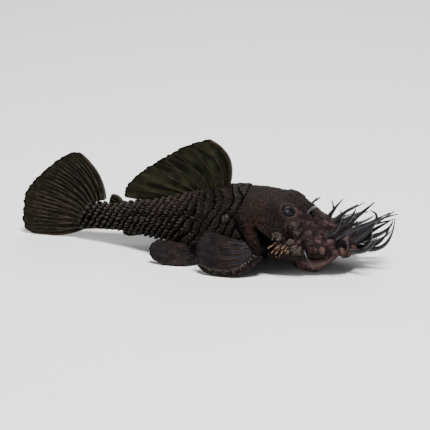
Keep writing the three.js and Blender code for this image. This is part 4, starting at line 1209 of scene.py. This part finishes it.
rows, columns = 40, 64
for (spot, out), name in zip(pair(EYE), ("right", "left")):
    centre = spot + out * (ORBIT["rise"] - EYE["sunk"])
    polar, turn = meshgrid(steps(rows) * pi, arange(columns) / columns * TURN, indexing="ij")
    ball = xyz(sin(polar) * cos(turn), sin(polar) * sin(turn), cos(polar))
    shape = Shape()
    shape.add(ball * EYE["radius"], grid_faces(rows, columns))
    shape.build(
        "eye_ball_" + name, eye_look, "eye", ["eye_" + name], place=looking((centre + SHIFT) * MM, out),
    )


# Floor, light and camera. Places and sizes are in metres and powers in watts

FLOOR_COLOUR = (0.78, 0.77, 0.75, 1)
SKY_COLOUR, SKY_STRENGTH = (0.9, 0.93, 1.0, 1), 0.25
LIGHTS = {
    "key": {"place": (0.15, -0.25, 0.8), "size": 0.25, "power": 17},
    "fill": {"place": (-0.5, -0.5, 0.6), "size": 0.5, "power": 2},
    "back": {"place": (-0.1, 0.7, 0.6), "size": 0.5, "power": 5},
}
# The photograph looks at the right side from a little ahead, 20 degrees above the floor
CAMERA = {"azimuth": 12.5, "elevation": 20, "distance": 0.418, "lens": 100, "sensor": 36}
# What the camera looks at, in the fish's frame
TARGET = [-51.838, 5.518, 12.481]


mesh = bpy.data.meshes.new("floor")
mesh.from_pydata([(-3, -3, 0), (3, -3, 0), (3, 3, 0), (-3, 3, 0)], [], [(0, 1, 2, 3)])
floor_look = Nodes("floor")
floor_look.shader.inputs["Base Color"].default_value = FLOOR_COLOUR
floor_look.shader.inputs["Roughness"].default_value = 0.9
mesh.materials.append(floor_look.material)
placed_object("floor", mesh, Matrix.Translation((0, 0, -0.05 * MM)))

world = bpy.data.worlds.new("studio")
bpy.context.scene.world = world
world.use_nodes = True
world.node_tree.nodes["Background"].inputs["Color"].default_value = SKY_COLOUR
world.node_tree.nodes["Background"].inputs["Strength"].default_value = SKY_STRENGTH

for name, lamp in LIGHTS.items():
    light = bpy.data.lights.new(name, "AREA")
    light.shape = "DISK"
    light.size = lamp["size"]
    light.energy = lamp["power"]
    placed_object(name, light, looking(lamp["place"], lamp["place"]))

a, e = radians(CAMERA["azimuth"]), radians(CAMERA["elevation"])
away = array([sin(a) * cos(e), -cos(a) * cos(e), sin(e)])
camera = bpy.data.cameras.new("camera")
camera.lens = CAMERA["lens"]
camera.sensor_width = CAMERA["sensor"]
place = (array(TARGET) + SHIFT) * MM + away * CAMERA["distance"]
bpy.context.scene.camera = placed_object("camera", camera, looking(place, away))
